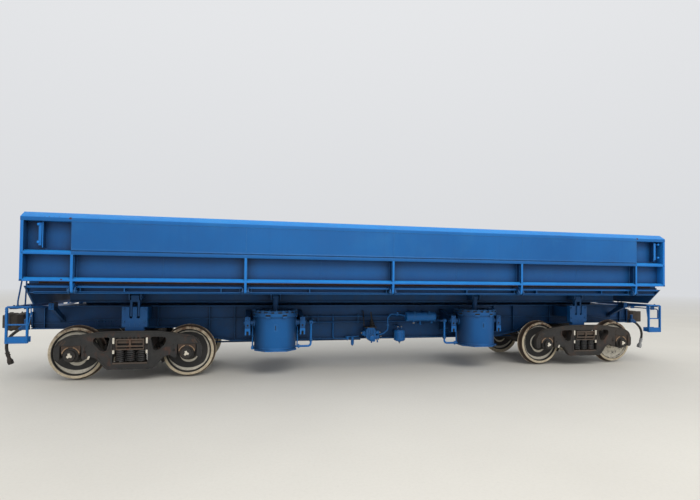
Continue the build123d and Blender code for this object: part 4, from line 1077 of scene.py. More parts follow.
# ============================================================== body details
bm = bmesh.new()
for name, sy in SIDES:
    weld(bm, (-5.60, sy * 1.414, R(1.444)), (5.60, sy * 1.414, R(1.444)), 0.006, 0, 0.05)
    weld(bm, (-5.60, sy * 1.427, R(1.537)), (5.60, sy * 1.427, R(1.537)), 0.006, 0, 0.05)
    # short gussets at the hinge arms, curved
    for x in (-4.989, -2.4785, 0.0, 2.4785, 4.989):
        for s in (-1, 1):
            out = bend([(sy * 1.426, R(1.560)), (sy * 1.470, R(1.545)), (sy * 1.498, R(1.500)), (sy * 1.498, R(1.445))], 0.03, 4)
            slab_x(bm, out + [(sy * 1.414, R(1.445)), (sy * 1.414, R(1.560))], x + s * 0.090 - 0.005, x + s * 0.090 + 0.005)
        # nuts on the hinge pin, cotter washers
        for s in (-1, 1):
            add_lathe(bm, [(0, 0), (0, 0.020), (0.004, 0.020), (0.004, 0)], (x + s * 0.0535, sy * 1.550, R(1.462)), (s, 0, 0), 18)
            rod(bm, (x + s * 0.0535, sy * 1.550, R(1.462)), (x + s * 0.066, sy * 1.550, R(1.462)), 0.011, 12)
    # bottom plate splices of the long beams
    for x in (-3.9, -1.3, 1.3, 3.9):
        weld(bm, (x, sy * 0.560, R(1.2445)), (x, sy * 0.680, R(1.2445)), 0.004, 0, 0.01)
    # rolled lips of the channel's two flanges, the upper one in the brighter copy as a painted highlight
    slab_x(bm, rounded([(sy * 1.482, R(1.508)), (sy * 1.500, R(1.508)), (sy * 1.502, R(1.541)), (sy * 1.482, R(1.541))], [.002, .004, .004, .002], 2), -5.612, 5.612, 1)
    slab_x(bm, rounded([(sy * 1.484, R(1.422)), (sy * 1.500, R(1.422)), (sy * 1.500, R(1.452)), (sy * 1.484, R(1.452))], [.002, .004, .004, .002], 2), -5.520, 5.520, 2)
to_object(bm, "body_side_fittings", "tipping_body", [BLUE_UNDER, BLUE_LIP, BLUE_SILL], 0.002, 2, 40)


# ==================================================================== doors
def door(name, sy):
    Y = lambda v: sy * v
    bm = bmesh.new()
    A, B = 0, 1           # face blue, rail blue (a brighter copy, painted highlight)
    chord = rounded([(Y(1.462), R(2.492)), (Y(1.599), R(2.492)), (Y(1.599), R(2.547)), (Y(1.476), R(2.630)), (Y(1.450), R(2.630)),
                     (Y(1.450), R(2.602)), (Y(1.462), R(2.602))], [0, .004, .012, .008, .003, 0, 0], 3)
    slab_x(bm, chord, -5.672, 5.672, B)
    rbox(bm, (-5.000, Y(1.462), R(2.072)), (5.000, Y(1.5945), R(2.494)), A)
    # turned-in lower lip of the box, and the groove under it
    slab_x(bm, [(Y(1.560), R(2.068)), (Y(1.5975), R(2.068)), (Y(1.5975), R(2.076)), (Y(1.594), R(2.086)), (Y(1.560), R(2.086))], -5.000, 5.000, A)
    rbox(bm, (-5.000, Y(1.462), R(2.040)), (5.000, Y(1.580), R(2.074)), A)
    # mid rail: square in the middle bays, with a sloping top in the end bays
    slab_x(bm, rounded([(Y(1.462), R(2.001)), (Y(1.599), R(2.001)), (Y(1.599), R(2.050)), (Y(1.588), R(2.057)), (Y(1.462), R(2.057))],
                       [0, .004, .003, .003, 0], 2), -5.000, 5.000, A)
    for s in (-1, 1):
        slab_x(bm, rounded([(Y(1.462), R(2.001)), (Y(1.599), R(2.001)), (Y(1.599), R(2.034)), (Y(1.562), R(2.062)), (Y(1.462), R(2.072))],
                           [0, .004, .005, .010, 0], 2), s * 5.000, s * 5.642, B)
    # bottom rail with a broad sloping top
    slab_x(bm, rounded([(Y(1.462), R(1.606)), (Y(1.599), R(1.606)), (Y(1.599), R(1.630)), (Y(1.556), R(1.664)), (Y(1.462), R(1.664))],
                       [0, .004, .006, .010, 0], 3), -5.672, 5.672, B)
    for s in (-1, 1):
        slab_z(bm, rounded([(s * 5.624, Y(1.462)), (s * 5.672, Y(1.462)), (s * 5.672, Y(1.599)), (s * 5.628, Y(1.599))],
                           [0, 0, .006, .006], 2), R(1.610), R(2.500), B)
    # hinge arms
    for x in (-4.989, -2.4785, 0.0, 2.4785, 4.989):
        arm = rounded([(Y(1.462), R(2.050)), (Y(1.598), R(2.050)), (Y(1.598), R(1.560)), (Y(1.584), R(1.462)), (Y(1.566), R(1.436)),
                       (Y(1.534), R(1.436)), (Y(1.520), R(1.462)), (Y(1.508), R(1.585)), (Y(1.462), R(1.612))],
                      [0, 0, .05, .03, .02, .02, .03, .03, 0], 4)
        slab_x(bm, arm, x - 0.018, x + 0.018, B)
        for s in (-1, 1):       # the arm spreads towards the panel
            slab_x(bm, [(Y(1.462), R(2.000)), (Y(1.560), R(2.000)), (Y(1.560), R(1.664)), (Y(1.462), R(1.664))], x + s * 0.016, x + s * 0.025, A)
            add_lathe(bm, [(0, 0.016), (0, 0.024), (0.005, 0.024), (0.005, 0.016)], (x + s * 0.018, Y(1.550), R(1.462)), (s, 0, 0), 24, A)
            weld(bm, (x + s * 0.026, Y(1.464), R(2.000)), (x + s * 0.026, Y(1.464), R(1.664)), 0.004, A, 0.02)
            weld(bm, (x + s * 0.020, Y(1.592), R(1.999)), (x + s * 0.020, Y(1.500), R(1.999)), 0.004, A, 0.02)
        # seam where two lengths of the box meet
        if abs(x) < 4.9:
            weld(bm, (x + 0.004, Y(1.5945), R(2.080)), (x + 0.004, Y(1.5945), R(2.488)), 0.0028, A, 0.010)
        else:
            s = 1 if x > 0 else -1
            weld(bm, (s * 4.998, Y(1.594), R(2.080)), (s * 4.998, Y(1.594), R(2.488)), 0.0035, A, 0.010)
    weld(bm, (-4.99, Y(1.5955), R(2.492)), (4.99, Y(1.5955), R(2.492)), 0.003, A, 0.03)
    # butt welds of the panel behind the bays
    for x in (-3.74, -1.24, 1.24, 3.74):
        weld(bm, (x, Y(1.4625), R(1.664)), (x, Y(1.4625), R(2.001)), 0.003, A, 0.02)
    # grab irons in the end bays: an angle standing out from the panel, beside it two bolted studs
    for s, xp, xs, xh in ((-1, 5.386, 5.409, 5.449), (1, 5.441, 5.452, 5.550)):
        # the angle's inner leg and the stud blocks take the near-black copy, a painted shadow; the round heads take the
        # bright copy, a painted highlight
        rbox(bm, (s * xp, Y(1.462), R(2.100)), (s * (xp + 0.012), Y(1.556), R(2.482)), 3)
        rbox(bm, (s * xp, Y(1.552), R(2.100)), (s * (xp + 0.012), Y(1.560), R(2.482)), B)
        slab_x(bm, rounded([(Y(1.536), R(2.130)), (Y(1.556), R(2.130)), (Y(1.556), R(2.470)), (Y(1.536), R(2.470))], 0.006, 3), s * xs, s * (xs + 0.038), B)
        for z in (2.180, 2.442):
            rbox(bm, (s * (xh - 0.013), Y(1.462), R(z - 0.013)), (s * (xh + 0.013), Y(1.550), R(z + 0.013)), 3)
            rbox(bm, (s * xs, Y(1.530), R(z - 0.012)), (s * xh, Y(1.538), R(z + 0.012)), 3)
            add_lathe(bm, [(1.546, 0), (1.546, 0.021), (1.562, 0.021), (1.570, 0.015), (1.572, 0)], (s * xh, 0, R(z)), (0, sy, 0), 18, 2)
            rbox(bm, (s * (xh - 0.030), Y(1.462), R(z - 0.044)), (s * (xh + 0.030), Y(1.470), R(z + 0.034)), A)
        # painted shade: the end post's side that faces the bay takes the near-black copy
        for f in bm.faces:
            c, n = f.calc_center_median(), f.normal
            if s * c.x > 5.60 and c.z < R(2.50) and abs(n.x) > 0.7 and s * n.x < 0 and f.material_index == B:
                f.material_index = 3
    for f in bm.faces:      # the chord's upright face is plain enamel; its slope keeps the rail paint with its painted highlight
        c, n = f.calc_center_median(), f.normal
        if abs(n.y) > 0.9 and R(2.480) < c.z < R(2.550) and f.material_index == B:
            f.material_index = 4
    for f in bm.faces:      # painted shade: the sides of the hinge arms between the rails take the near-black copy
        c, n = f.calc_center_median(), f.normal
        if abs(n.x) > 0.9 and R(1.60) < c.z < R(2.03) and abs(c.x) < 5.10:
            f.material_index = 3
    # materials 2 and 3: painted highlight on the grab-iron heads, painted shade on faces turned from the light
    to_object(bm, name + "_door_frame_shape", name + "_door", [BLUE_DOOR, BLUE_RAIL, BLUE_HEAD, BLUE_INNER, BLUE_CHORD], 0.0022, 2, 40,
              replaces=(name + "_door_frame",))


for name, sy in SIDES:
    door(name, sy)


# ================================================================ cylinders
def cylinder_pair(name, sy):
    bm = bmesh.new()
    for sx in (-1, 1):
        x0, y0 = sx * 1.957, sy * 0.800
        z0, z1 = R(0.420), R(1.112)
        face = -pi / 2 if sy < 0 else pi / 2
        prof = [(z0, 0), (z0, 0.352), (z0 + 0.003, 0.362), (z0 + 0.010, 0.368), (z0 + 0.048, 0.369), (z0 + 0.053, 0.3665),
                (z0 + 0.058, 0.369), (z1 - 0.118, 0.369), (z1 - 0.100, 0.376), (z1 - 0.097, 0.401), (z1 - 0.092, 0.404), (z1 - 0.040, 0.404),
                (z1 - 0.036, 0.396), (z1 - 0.010, 0.396), (z1 - 0.010, 0.303), (z0 + 0.022, 0.303), (z0 + 0.022, 0)]
        add_lathe(bm, prof, (x0, y0, 0), (0, 0, 1), 72, 0)
        foot = [(x0 + i * u, y0 + j * v) for i, j, ends in ((1, 1, 0), (-1, 1, 1), (-1, -1, 0), (1, -1, 1))
                for u, v in (((0.365, 0.189), (0.185, 0.369)), ((0.185, 0.369), (0.365, 0.189)))[ends]]
        slab_z(bm, foot, z0, z0 + 0.022, 0, (circle(x0, y0, 0.300, 48),))
        # top ring with a notch between the bolts
        ears, out = 20, []
        for k in range(ears):
            a = 2 * pi * k / ears + face
            for da, r in ((-0.108, 0.388), (-0.096, 0.405), (0.0, 0.407), (0.096, 0.405), (0.108, 0.388)):
                out.append((x0 + r * cos(a + da), y0 + r * sin(a + da)))
            # painted shade: a near-black strip in the gap below the ring, between the bolts
            b = a + pi / ears
            wide = 0.062 if k % 3 else 0.095
            arc = [(x0 + 0.4005 * cos(b + wide * t / 3), y0 + 0.4005 * sin(b + wide * t / 3)) for t in range(-3, 4)]
            back = [(x0 + 0.394 * cos(b + wide * t / 3), y0 + 0.394 * sin(b + wide * t / 3)) for t in range(3, -4, -1)]
            slab_z(bm, arc + back, z1 - 0.034, z1 - 0.012, 3)
        slab_z(bm, out, z1 - 0.012, z1, 0, (circle(x0, y0, 0.304, 64),))
        for k in range(ears):
            a = 2 * pi * k / ears + face
            hexagon(bm, (x0 + 0.378 * cos(a), y0 + 0.378 * sin(a), z1), (0, 0, 1), 0.030, 0.014, 1)
        add_lathe(bm, [(z1 - 0.004, 0.304), (z1 - 0.004, 0.345), (z1 + 0.006, 0.345), (z1 + 0.008, 0.335), (z1 + 0.008, 0.304)],
                  (x0, y0, 0), (0, 0, 1), 64, 1)
        # pads under the ring, each over a slot that is a near-black strip of painted shade
        for k in range(8):
            a = face + pi / 8 + k * pi / 4 + (0.03 if k % 2 else -0.03)
            for r0, r1, zz0, zz1, half, m in ((0.400, 0.4090, z1 - 0.056, z1 - 0.032, 0.140, 0), (0.400, 0.4055, z1 - 0.084, z1 - 0.060, 0.110, 3),
                                              (0.366, 0.4075, z1 - 0.114, z1 - 0.090, 0.100, 0)):
                arc = [(x0 + r1 * cos(a + half * t / 5), y0 + r1 * sin(a + half * t / 5)) for t in range(-5, 6)]
                back = [(x0 + r0 * cos(a + half * t / 5), y0 + r0 * sin(a + half * t / 5)) for t in range(5, -6, -1)]
                slab_z(bm, arc + back, zz0, zz1, m)
        # small upright lug at the middle of the outer face, with a near-black slot plate: painted shade
        c, s = cos(face), sin(face)
        slab_y(bm, rounded([(x0 - 0.036, R(0.772)), (x0 + 0.020, R(0.772)), (x0 + 0.020, R(0.892)), (x0 - 0.036, R(0.892))], 0.012, 3),
               y0 + s * 0.360, y0 + s * 0.3715)
        slab_y(bm, rounded([(x0 - 0.020, R(0.790)), (x0 - 0.004, R(0.784)), (x0 - 0.003, R(0.850)), (x0 - 0.010, R(0.874)), (x0 - 0.022, R(0.862))], 0.004, 2),
               y0 + s * 0.366, y0 + s * 0.3735, 2)
        # trunnions with a stiffening pad, collar and end cap
        for d in (-1, 1):
            add_lathe(bm, [(0.335, 0), (0.335, 0.088), (0.378, 0.088), (0.384, 0.080), (0.384, 0.056), (0.430, 0.054), (0.434, 0.050),
                           (0.434, 0.040), (0.533, 0.040), (0.533, 0.052), (0.546, 0.052), (0.549, 0.046), (0.549, 0)],
                      (x0, y0, R(0.890)), (d, 0, 0), 32)
            hexagon(bm, (x0 + d * 0.549, y0, R(0.890)), (d, 0, 0), 0.034, 0.014, 1, False)
            for k in range(4):
                a = pi / 4 + k * pi / 2
                hexagon(bm, (x0 + d * 0.3775, y0 + 0.070 * cos(a), R(0.890) + 0.070 * sin(a)), (d, 0, 0), 0.020, 0.008, 1, False)
        # air feed from the foot to the swivel, drain on the other side
        pipe(bm, [(x0 - sx * 0.355, y0, R(0.455)), (x0 - sx * 0.645, y0, R(0.455)), (x0 - sx * 0.645, y0, R(0.890))], 0.019, 0.055, 14, 4)
        coupling(bm, (x0 - sx * 0.425, y0, R(0.455)), (1, 0, 0), 0.021, 0.040, 4)
        # thin pipe up the barrel on the same side
        pipe(bm, [(x0 - sx * 0.397, y0, R(0.462)), (x0 - sx * 0.397, y0, R(0.812))], 0.012, 0.02, 12, 4)
        coupling(bm, (x0 - sx * 0.645, y0, R(0.560)), (0, 0, 1), 0.021, 0.040)
        add_lathe(bm, [(-0.034, 0), (-0.034, 0.030), (-0.028, 0.035), (0.028, 0.035), (0.034, 0.030), (0.034, 0)],
                  (x0 - sx * 0.645, y0, R(0.890)), (1, 0, 0), 24)
        pipe(bm, [(x0 + sx * 0.396, y0, R(0.470)), (x0 + sx * 0.396, y0, R(0.838))], 0.012, 0.02, 12, 4)
        add_lathe(bm, [(-0.026, 0), (-0.026, 0.016), (-0.020, 0.029), (0.026, 0.029), (0.032, 0.020), (0.048, 0.017), (0.048, 0)],
                  (x0 + sx * 0.392, y0, R(0.440)), (0, 0, 1), 20, 4)
        rbox(bm, (x0 + sx * 0.366, y0 - 0.014, R(0.640)), (x0 + sx * 0.408, y0 + 0.014, R(0.656)))
        for k in range(8):
            a = face + pi / 8 + k * pi / 4
            rod(bm, (x0 + 0.330 * cos(a), y0 + 0.330 * sin(a), z0 - 0.010), (x0 + 0.330 * cos(a), y0 + 0.330 * sin(a), z0 + 0.004), 0.014, 10, 1)
    to_object(bm, name + "_cylinder_barrels_shape", name + "_barrels", [BLUE_CYL, BLUE_UNDER, SLOT_DARK, HOLE_SHADE, BLUE_TAB], 0.002, 2, 40,
              replaces=(name + "_cylinder_barrels",))


for name, sy in SIDES:
    cylinder_pair(name, sy)

# bolts, cap split and wear plates on the hangers; bolts on the pivot brackets
bm = bmesh.new()
for sx in (-1, 1):
    for dx in (-0.484, 0.484):
        for sy in (-1, 1):
            x = sx * 1.957 + dx
            rbox(bm, (x - 0.046, sy * 0.732, R(0.802)), (x + 0.046, sy * 0.8715, R(0.808)), 1)
            add_lathe(bm, [(0.8695, 0), (0.8695, 0.024), (0.877, 0.024), (0.880, 0.020), (0.880, 0)], (x, 0, R(0.948)), (0, sy, 0), 18, 0)
            # near-black disc: painted shade for the pin hole
            add_lathe(bm, [(0.8695, 0), (0.8695, 0.017), (0.8725, 0.017), (0.8725, 0)], (x, 0, R(0.843)), (0, sy, 0), 18, 3)
            # fork below: two cheeks with a round arch between them
            slab_y(bm, [(x - 0.047, R(0.677)), (x - 0.021, R(0.677)), (x - 0.021, R(0.728))] +
                   [(x - 0.021 * cos(t), R(0.728) + 0.021 * sin(t)) for t in [pi * k / 8 for k in range(1, 8)]] +
                   [(x + 0.021, R(0.728)), (x + 0.021, R(0.677)), (x + 0.047, R(0.677)), (x + 0.047, R(0.792)), (x - 0.047, R(0.792))],
                   sy * 0.866, sy * 0.878, 2)
            # near-black plate in the arch: painted shade
            rbox(bm, (x - 0.020, sy * 0.8690, R(0.677)), (x + 0.020, sy * 0.8705, R(0.730)), 3)
            for s in (-1, 1):
                hexagon(bm, (x + s * 0.030, sy * 0.790, R(0.676)), (0, 0, -1), 0.022, 0.012, 0, False)
            hexagon(bm, (x, sy * 0.800, R(0.990)), (0, 0, 1), 0.034, 0.016, 0)
            weld(bm, (x - 0.047, sy * 0.243, R(1.078)), (x - 0.047, sy * 0.243, R(0.645)), 0.006)
            weld(bm, (x + 0.047, sy * 0.243, R(1.078)), (x + 0.047, sy * 0.243, R(0.645)), 0.006)
    for sy in (-1, 1):
        x = sx * 4.284
        for s in (-1, 1):
            for z in (1.135, 0.930):
                hexagon(bm, (x + s * 0.165, sy * 0.870, R(z)), (0, sy, 0), 0.030, 0.014, 0)
        for k in (-1, 0, 1):
            rbox(bm, (x + k * 0.075 - 0.006, sy * 0.868, R(0.845)), (x + k * 0.075 + 0.006, sy * 0.873, R(0.905)), 0)
to_object(bm, "bracket_bolts", "underframe", [BLUE_CYL, SLOT_DARK, BLUE_TAB, HOLE_SHADE], 0.0015, 1, 40)

# ================================================ pipes, valves and reservoirs
bm = bmesh.new()
B, D, P = 0, 1, 2          # blue, dark, pale
for z in (0.945, 0.836):
    pipe(bm, [(-1.420, -0.290, R(z)), (1.420, -0.290, R(z))], 0.017, 0.05, 14, B)
    for s in (-1, 1):
        pipe(bm, [(s * 1.400, -0.290, R(z)), (s * 1.460, -0.290, R(z)), (s * 1.500, -0.245, R(z))], 0.017, 0.05, 12, B)
        coupling(bm, (s * 1.330, -0.290, R(z)), (1, 0, 0), 0.018, 0.050, B)
    coupling(bm, (-0.310, -0.290, R(z)), (1, 0, 0), 0.018, 0.050, B)
for x in (-1.1, -0.3, 0.35, 1.1):
    rbox(bm, (x - 0.018, -0.272, R(0.810)), (x + 0.018, -0.240, R(0.970)), B)
    for z in (0.945, 0.836):
        pipe(bm, [(x, -0.262, R(z + 0.020)), (x, -0.300, R(z + 0.020)), (x, -0.312, R(z)), (x, -0.300, R(z - 0.020)), (x, -0.262, R(z - 0.020))],
             0.005, 0.010, 8, B)
        hexagon(bm, (x, -0.272, R(z + 0.034)), (0, -1, 0), 0.016, 0.008, B)
# feeds to the cylinder swivels
for sx in (-1, 1):
    for sy in (-1, 1):
        xs = sx * (1.957 - 0.645 - 0.070)
        pipe(bm, [(xs, sy * 0.236, R(0.890)), (xs, sy * 0.800, R(0.890)), (xs + sx * 0.030, sy * 0.800, R(0.890))], 0.017, 0.028, 14, B)
        add_lathe(bm, [(0, 0), (0, 0.042), (0.010, 0.042), (0.014, 0.028), (0.030, 0.026), (0.030, 0)], (xs, sy * 0.238, R(0.890)), (0, sy, 0), 20, B)
        coupling(bm, (xs, sy * 0.470, R(0.890)), (0, 1, 0), 0.019, 0.044, B)
to_object(bm, "air_pipes_shape", "underframe", [BLUE_UNDER, CAST_DARK, PALE_HEAD], 0.0, replaces=("air_pipes",))

# down pipe and drip cups left of the valves, the valve itself, its bent feed, the filter
bm = bmesh.new()
pipe(bm, [(-0.806, -0.262, R(0.985)), (-0.806, -0.275, R(0.510)), (-0.560, -0.290, R(0.504))], 0.013, 0.045, 12, B)
coupling(bm, (-0.806, -0.266, R(0.800)), (0, 0, 1), 0.014, 0.034, B)
for x, z0, z1, r in ((-0.520, 0.478, 0.555, 0.032), (-0.418, 0.372, 0.545, 0.030)):
    add_lathe(bm, [(R(z0), 0), (R(z0), r * 0.45), (R(z0) + 0.012, r * 0.9), (R(z0) + 0.030, r), (R(z1) - 0.020, r), (R(z1) - 0.016, r * 1.15),
                   (R(z1) - 0.004, r * 1.15), (R(z1), r * 0.6), (R(z1), 0)], (x, -0.300, 0), (0, 0, 1), 24, B)
    rod(bm, (x, -0.300, R(z0) - 0.016), (x, -0.300, R(z0) + 0.004), 0.008, 10, P)
pipe(bm, [(-0.560, -0.290, R(0.540)), (-0.380, -0.300, R(0.545)), (-0.300, -0.330, R(0.552))], 0.012, 0.03, 10, B)
# distributor: a ribbed block with round covers, on a bracket
V = Vector((-0.090, -0.420, R(0.620)))
slab_y(bm, rounded([(-0.185, R(0.560)), (-0.115, R(0.475)), (-0.010, R(0.455)), (0.010, R(0.560)), (0.000, R(0.690)), (-0.040, R(0.745)),
                    (-0.150, R(0.745)), (-0.190, R(0.690))], 0.025, 4), -0.500, -0.330, B)
rbox(bm, (-0.205, -0.510, R(0.735)), (0.015, -0.320, R(0.752)), D)
for k in range(4):
    rbox(bm, (-0.170 + k * 0.042, -0.512, R(0.585)), (-0.158 + k * 0.042, -0.500, R(0.700)), B)
add_lathe(bm, [(0, 0.062), (0.014, 0.062), (0.018, 0.050), (0.060, 0.046), (0.072, 0.030), (0.074, 0)], (-0.185, -0.420, R(0.620)), (-1, 0, 0.1), 24, B)
add_lathe(bm, [(0, 0), (0, 0.020), (0.010, 0.018), (0.010, 0)], (-0.259, -0.420, R(0.628)), (-1, 0, 0.1), 12, P)
add_lathe(bm, [(0, 0.055), (0.012, 0.055), (0.016, 0.046), (0.050, 0.043), (0.060, 0.024), (0.061, 0)], (-0.085, -0.500, R(0.545)), (0, -1, 0), 24, B)
add_lathe(bm, [(0, 0.058), (0.012, 0.058), (0.018, 0.048), (0.085, 0.048), (0.095, 0.034), (0.098, 0)], (0.000, -0.430, R(0.545)), (1, -0.25, 0.15), 24, B)
add_lathe(bm, [(0, 0.040), (0.060, 0.040), (0.072, 0.024), (0.074, 0)], (0.015, -0.455, R(0.640)), (1, -0.1, 0), 20, B)
for a in range(6):
    t = a * pi / 3
    hexagon(bm, (-0.085 + 0.046 * cos(t), -0.512, R(0.545) + 0.046 * sin(t)), (0, -1, 0), 0.015, 0.008, P if a == 1 else B, False)
    hexagon(bm, (-0.190, -0.420 + 0.053 * cos(t), R(0.620) + 0.053 * sin(t)), (-1, 0, 0), 0.014, 0.020, B, False)
for p in ((0.120, -0.452, R(0.560)), (0.070, -0.470, R(0.500)), (0.095, -0.455, R(0.640))):
    hexagon(bm, p, (0.6, -1, 0), 0.022, 0.012, P)
rod(bm, (-0.060, -0.430, R(0.430)), (-0.060, -0.430, R(0.470)), 0.016, 12, B)
rod(bm, (0.060, -0.440, R(0.440)), (0.045, -0.435, R(0.520)), 0.014, 12, B)
rbox(bm, (-0.170, -0.335, R(0.580)), (0.020, -0.238, R(0.720)), B)
# rubber-booted change-over gear above it, with two black rods from the sill
add_lathe(bm, [(0, 0.052), (0.016, 0.056), (0.030, 0.044), (0.046, 0.050), (0.062, 0.038), (0.080, 0.042), (0.100, 0.028), (0.125, 0.030),
               (0.150, 0.016), (0.290, 0.013), (0.290, 0)], (-0.045, -0.420, R(0.752)), (-0.10, 0.05, 1), 20, D)
pipe(bm, [(-0.205, -0.400, R(0.750)), (-0.215, -0.380, R(0.900)), (-0.205, -0.300, R(1.040)), (-0.205, -0.236, R(1.045))], 0.010, 0.04, 10, D)
# feed that bends up to the reservoir, with a cock and its handle
pipe(bm, [(0.080, -0.450, R(0.590)), (0.180, -0.452, R(0.618)), (0.262, -0.455, R(0.690)), (0.262, -0.455, R(0.925)),
          (0.330, -0.455, R(1.000)), (0.520, -0.470, R(0.985)), (0.600, -0.540, R(0.970))], 0.013, 0.05, 12, B)
coupling(bm, (0.262, -0.455, R(0.780)), (0, 0, 1), 0.014, 0.036, B)
coupling(bm, (0.455, -0.464, R(0.990)), (1, 0, 0), 0.015, 0.050, B)
rbox(bm, (0.440, -0.485, R(0.995)), (0.470, -0.445, R(1.035)), B)
pipe(bm, [(0.455, -0.465, R(1.030)), (0.455, -0.465, R(1.050)), (0.530, -0.475, R(1.048))], 0.007, 0.012, 8, D)
# filter: ribbed pot with a domed foot and a drain
F = (0.492, -0.500, 0)
pot = ((0.486, 0), (0.486, 0.018), (0.500, 0.022), (0.506, 0.060), (0.516, 0.088), (0.530, 0.0985), (0.545, 0.099), (0.552, 0.090),
       (0.566, 0.088), (0.640, 0.088), (0.646, 0.094), (0.662, 0.094), (0.668, 0.088), (0.684, 0.086), (0.692, 0.076), (0.695, 0))
add_lathe(bm, [(R(0.695 - (0.695 - z) * 1.20), r * 1.14) for z, r in pot], F, (0, 0, 1), 48, B)
for k in range(8):
    a = 2 * pi * k / 8 + 0.2
    x, y = F[0] + 0.105 * cos(a), F[1] + 0.105 * sin(a)
    rod(bm, (x, y, R(0.500)), (x, y, R(0.660)), 0.0055, 8, B)
    hexagon(bm, (F[0] + 0.104 * cos(a), F[1] + 0.104 * sin(a), R(0.654)), (0, 0, 1), 0.014, 0.010, B, False)
rod(bm, (F[0], F[1], R(0.418)), (F[0], F[1], R(0.452)), 0.010, 12, P)
for dx in (-0.035, 0.040):
    pipe(bm, [(F[0] + dx, F[1], R(0.690)), (F[0] + dx, F[1], R(0.745)), (F[0] + dx, -0.400, R(0.760)), (F[0] + dx, -0.245, R(0.760))], 0.010, 0.03, 10, B)
    hexagon(bm, (F[0] + dx, F[1], R(0.740)), (0, 0, 1), 0.026, 0.016, P)
rbox(bm, (0.452, -0.420, R(0.612)), (0.532, -0.238, R(0.668)), B)
to_object(bm, "brake_valve_cluster", "underframe", [BLUE_GEAR, RUBBER, PALE_HEAD], 0.0015, 2, 42, replaces=("brake_valves",))

# small reservoir: rolled shell, dished ends behind a rim, two straps, plugs below
bm = bmesh.new()
add_lathe(bm, [(0, 0), (0.002, 0.040), (0.008, 0.068), (0.016, 0.078), (0.004, 0.082), (0.000, 0.0865), (0.004, 0.0885), (0.050, 0.0885), (0.054, 0.0865),
               (0.060, 0.086), (0.550, 0.086), (0.556, 0.0865), (0.560, 0.0885), (0.606, 0.0885), (0.610, 0.0865), (0.606, 0.082), (0.594, 0.078),
               (0.602, 0.068), (0.608, 0.040), (0.610, 0)], (0.600, -0.560, R(0.955)), (1, 0, 0), 48, B)
for x in (0.760, 1.060):
    add_lathe(bm, [(-0.022, 0.0862), (-0.022, 0.0892), (0.022, 0.0892), (0.022, 0.0862)], (x, -0.560, R(0.955)), (1, 0, 0), 40, B)
    rbox(bm, (x - 0.024, -0.560, R(1.018)), (x + 0.024, -0.238, R(1.046)), B)
    for s in (-1, 1):
        pipe(bm, [(x + s * 0.010, -0.646, R(0.955)), (x + s * 0.010, -0.646, R(1.040))], 0.006, 0.02, 8, B)
    hexagon(bm, (x, -0.640, R(1.046)), (0, 0, 1), 0.022, 0.012, B)
    weld(bm, (x - 0.022, -0.470, R(1.018)), (x + 0.022, -0.470, R(1.018)), 0.005, B)
for x, m in ((0.764, P), (1.145, B)):
    rod(bm, (x, -0.560, R(0.835)), (x, -0.560, R(0.872)), 0.016, 12, B)
    hexagon(bm, (x, -0.560, R(0.838)), (0, 0, -1), 0.036, 0.018, m)
pipe(bm, [(0.90, -0.560, R(0.870)), (0.90, -0.560, R(0.800)), (0.99, -0.430, R(0.790)), (0.99, -0.240, R(0.790))], 0.011, 0.04, 10, B)
hexagon(bm, (0.90, -0.560, R(0.852)), (0, 0, -1), 0.032, 0.018, B)
to_object(bm, "air_reservoir_shape", "underframe", [BLUE_GEAR, CAST_DARK, PALE_HEAD], 0.0015, 2, 42, replaces=("air_reservoir",))

# far side: bands, drain and gauge boss on the main reservoir; brake cylinder's head bolts and lever
bm = bmesh.new()
for x in (-0.78, 0.02):
    add_lathe(bm, [(-0.030, 0.2145), (-0.030, 0.2195), (0.030, 0.2195), (0.030, 0.2145)], (x, 0.560, R(0.820)), (1, 0, 0), 56, 0)
    for z in (0.760, 0.880):
        hexagon(bm, (x, 0.362, R(z)), (0, -1, 0), 0.030, 0.014)
for x in (-1.080, 0.320):
    s = -1 if x < 0 else 1
    add_lathe(bm, [(0, 0.205), (0.004, 0.150), (0.008, 0.080), (0.010, 0.0)], (x - s * 0.004, 0.560, R(0.820)), (s, 0, 0), 48, 0)
    add_lathe(bm, [(-0.014, 0.2145), (-0.010, 0.218), (0.0, 0.2175)], (x - s * 0.030, 0.560, R(0.820)), (s, 0, 0), 48, 0)
rod(bm, (-0.38, 0.560, R(0.585)), (-0.38, 0.560, R(0.612)), 0.018, 12, 0)
hexagon(bm, (-0.38, 0.560, R(0.590)), (0, 0, -1), 0.036, 0.018, 0)
add_lathe(bm, [(-0.012, 0.1775), (-0.012, 0.196), (0.012, 0.196), (0.012, 0.1775)], (0.640, 0.520, R(0.760)), (1, 0, 0), 40, 0)
for k in range(10):
    a = 2 * pi * k / 10
    hexagon(bm, (0.652, 0.520 + 0.187 * cos(a), R(0.760) + 0.187 * sin(a)), (1, 0, 0), 0.016, 0.010, 0, False)
slab_z(bm, rounded([(0.985, 0.560), (1.025, 0.560), (1.018, -0.080), (0.992, -0.080)], 0.012, 3), R(0.748), R(0.768), 0)
rod(bm, (1.005, 0.520, R(0.735)), (1.005, 0.520, R(0.785)), 0.016, 12, 0)
rod(bm, (1.005, -0.060, R(0.735)), (1.005, -0.060, R(0.785)), 0.014, 12, 0)
pipe(bm, [(0.32, 0.560, R(0.985)), (0.40, 0.560, R(0.985)), (0.47, 0.420, R(0.960)), (0.47, 0.240, R(0.960))], 0.014, 0.05, 12, 0)
pipe(bm, [(-1.06, 0.560, R(0.900)), (-1.16, 0.560, R(0.900)), (-1.16, 0.400, R(0.950)), (-1.16, 0.236, R(0.950))], 0.017, 0.05, 12, 0)
to_object(bm, "far_side_gear_fittings", "underframe", [BLUE_UNDER], 0.0015, 2, 42)


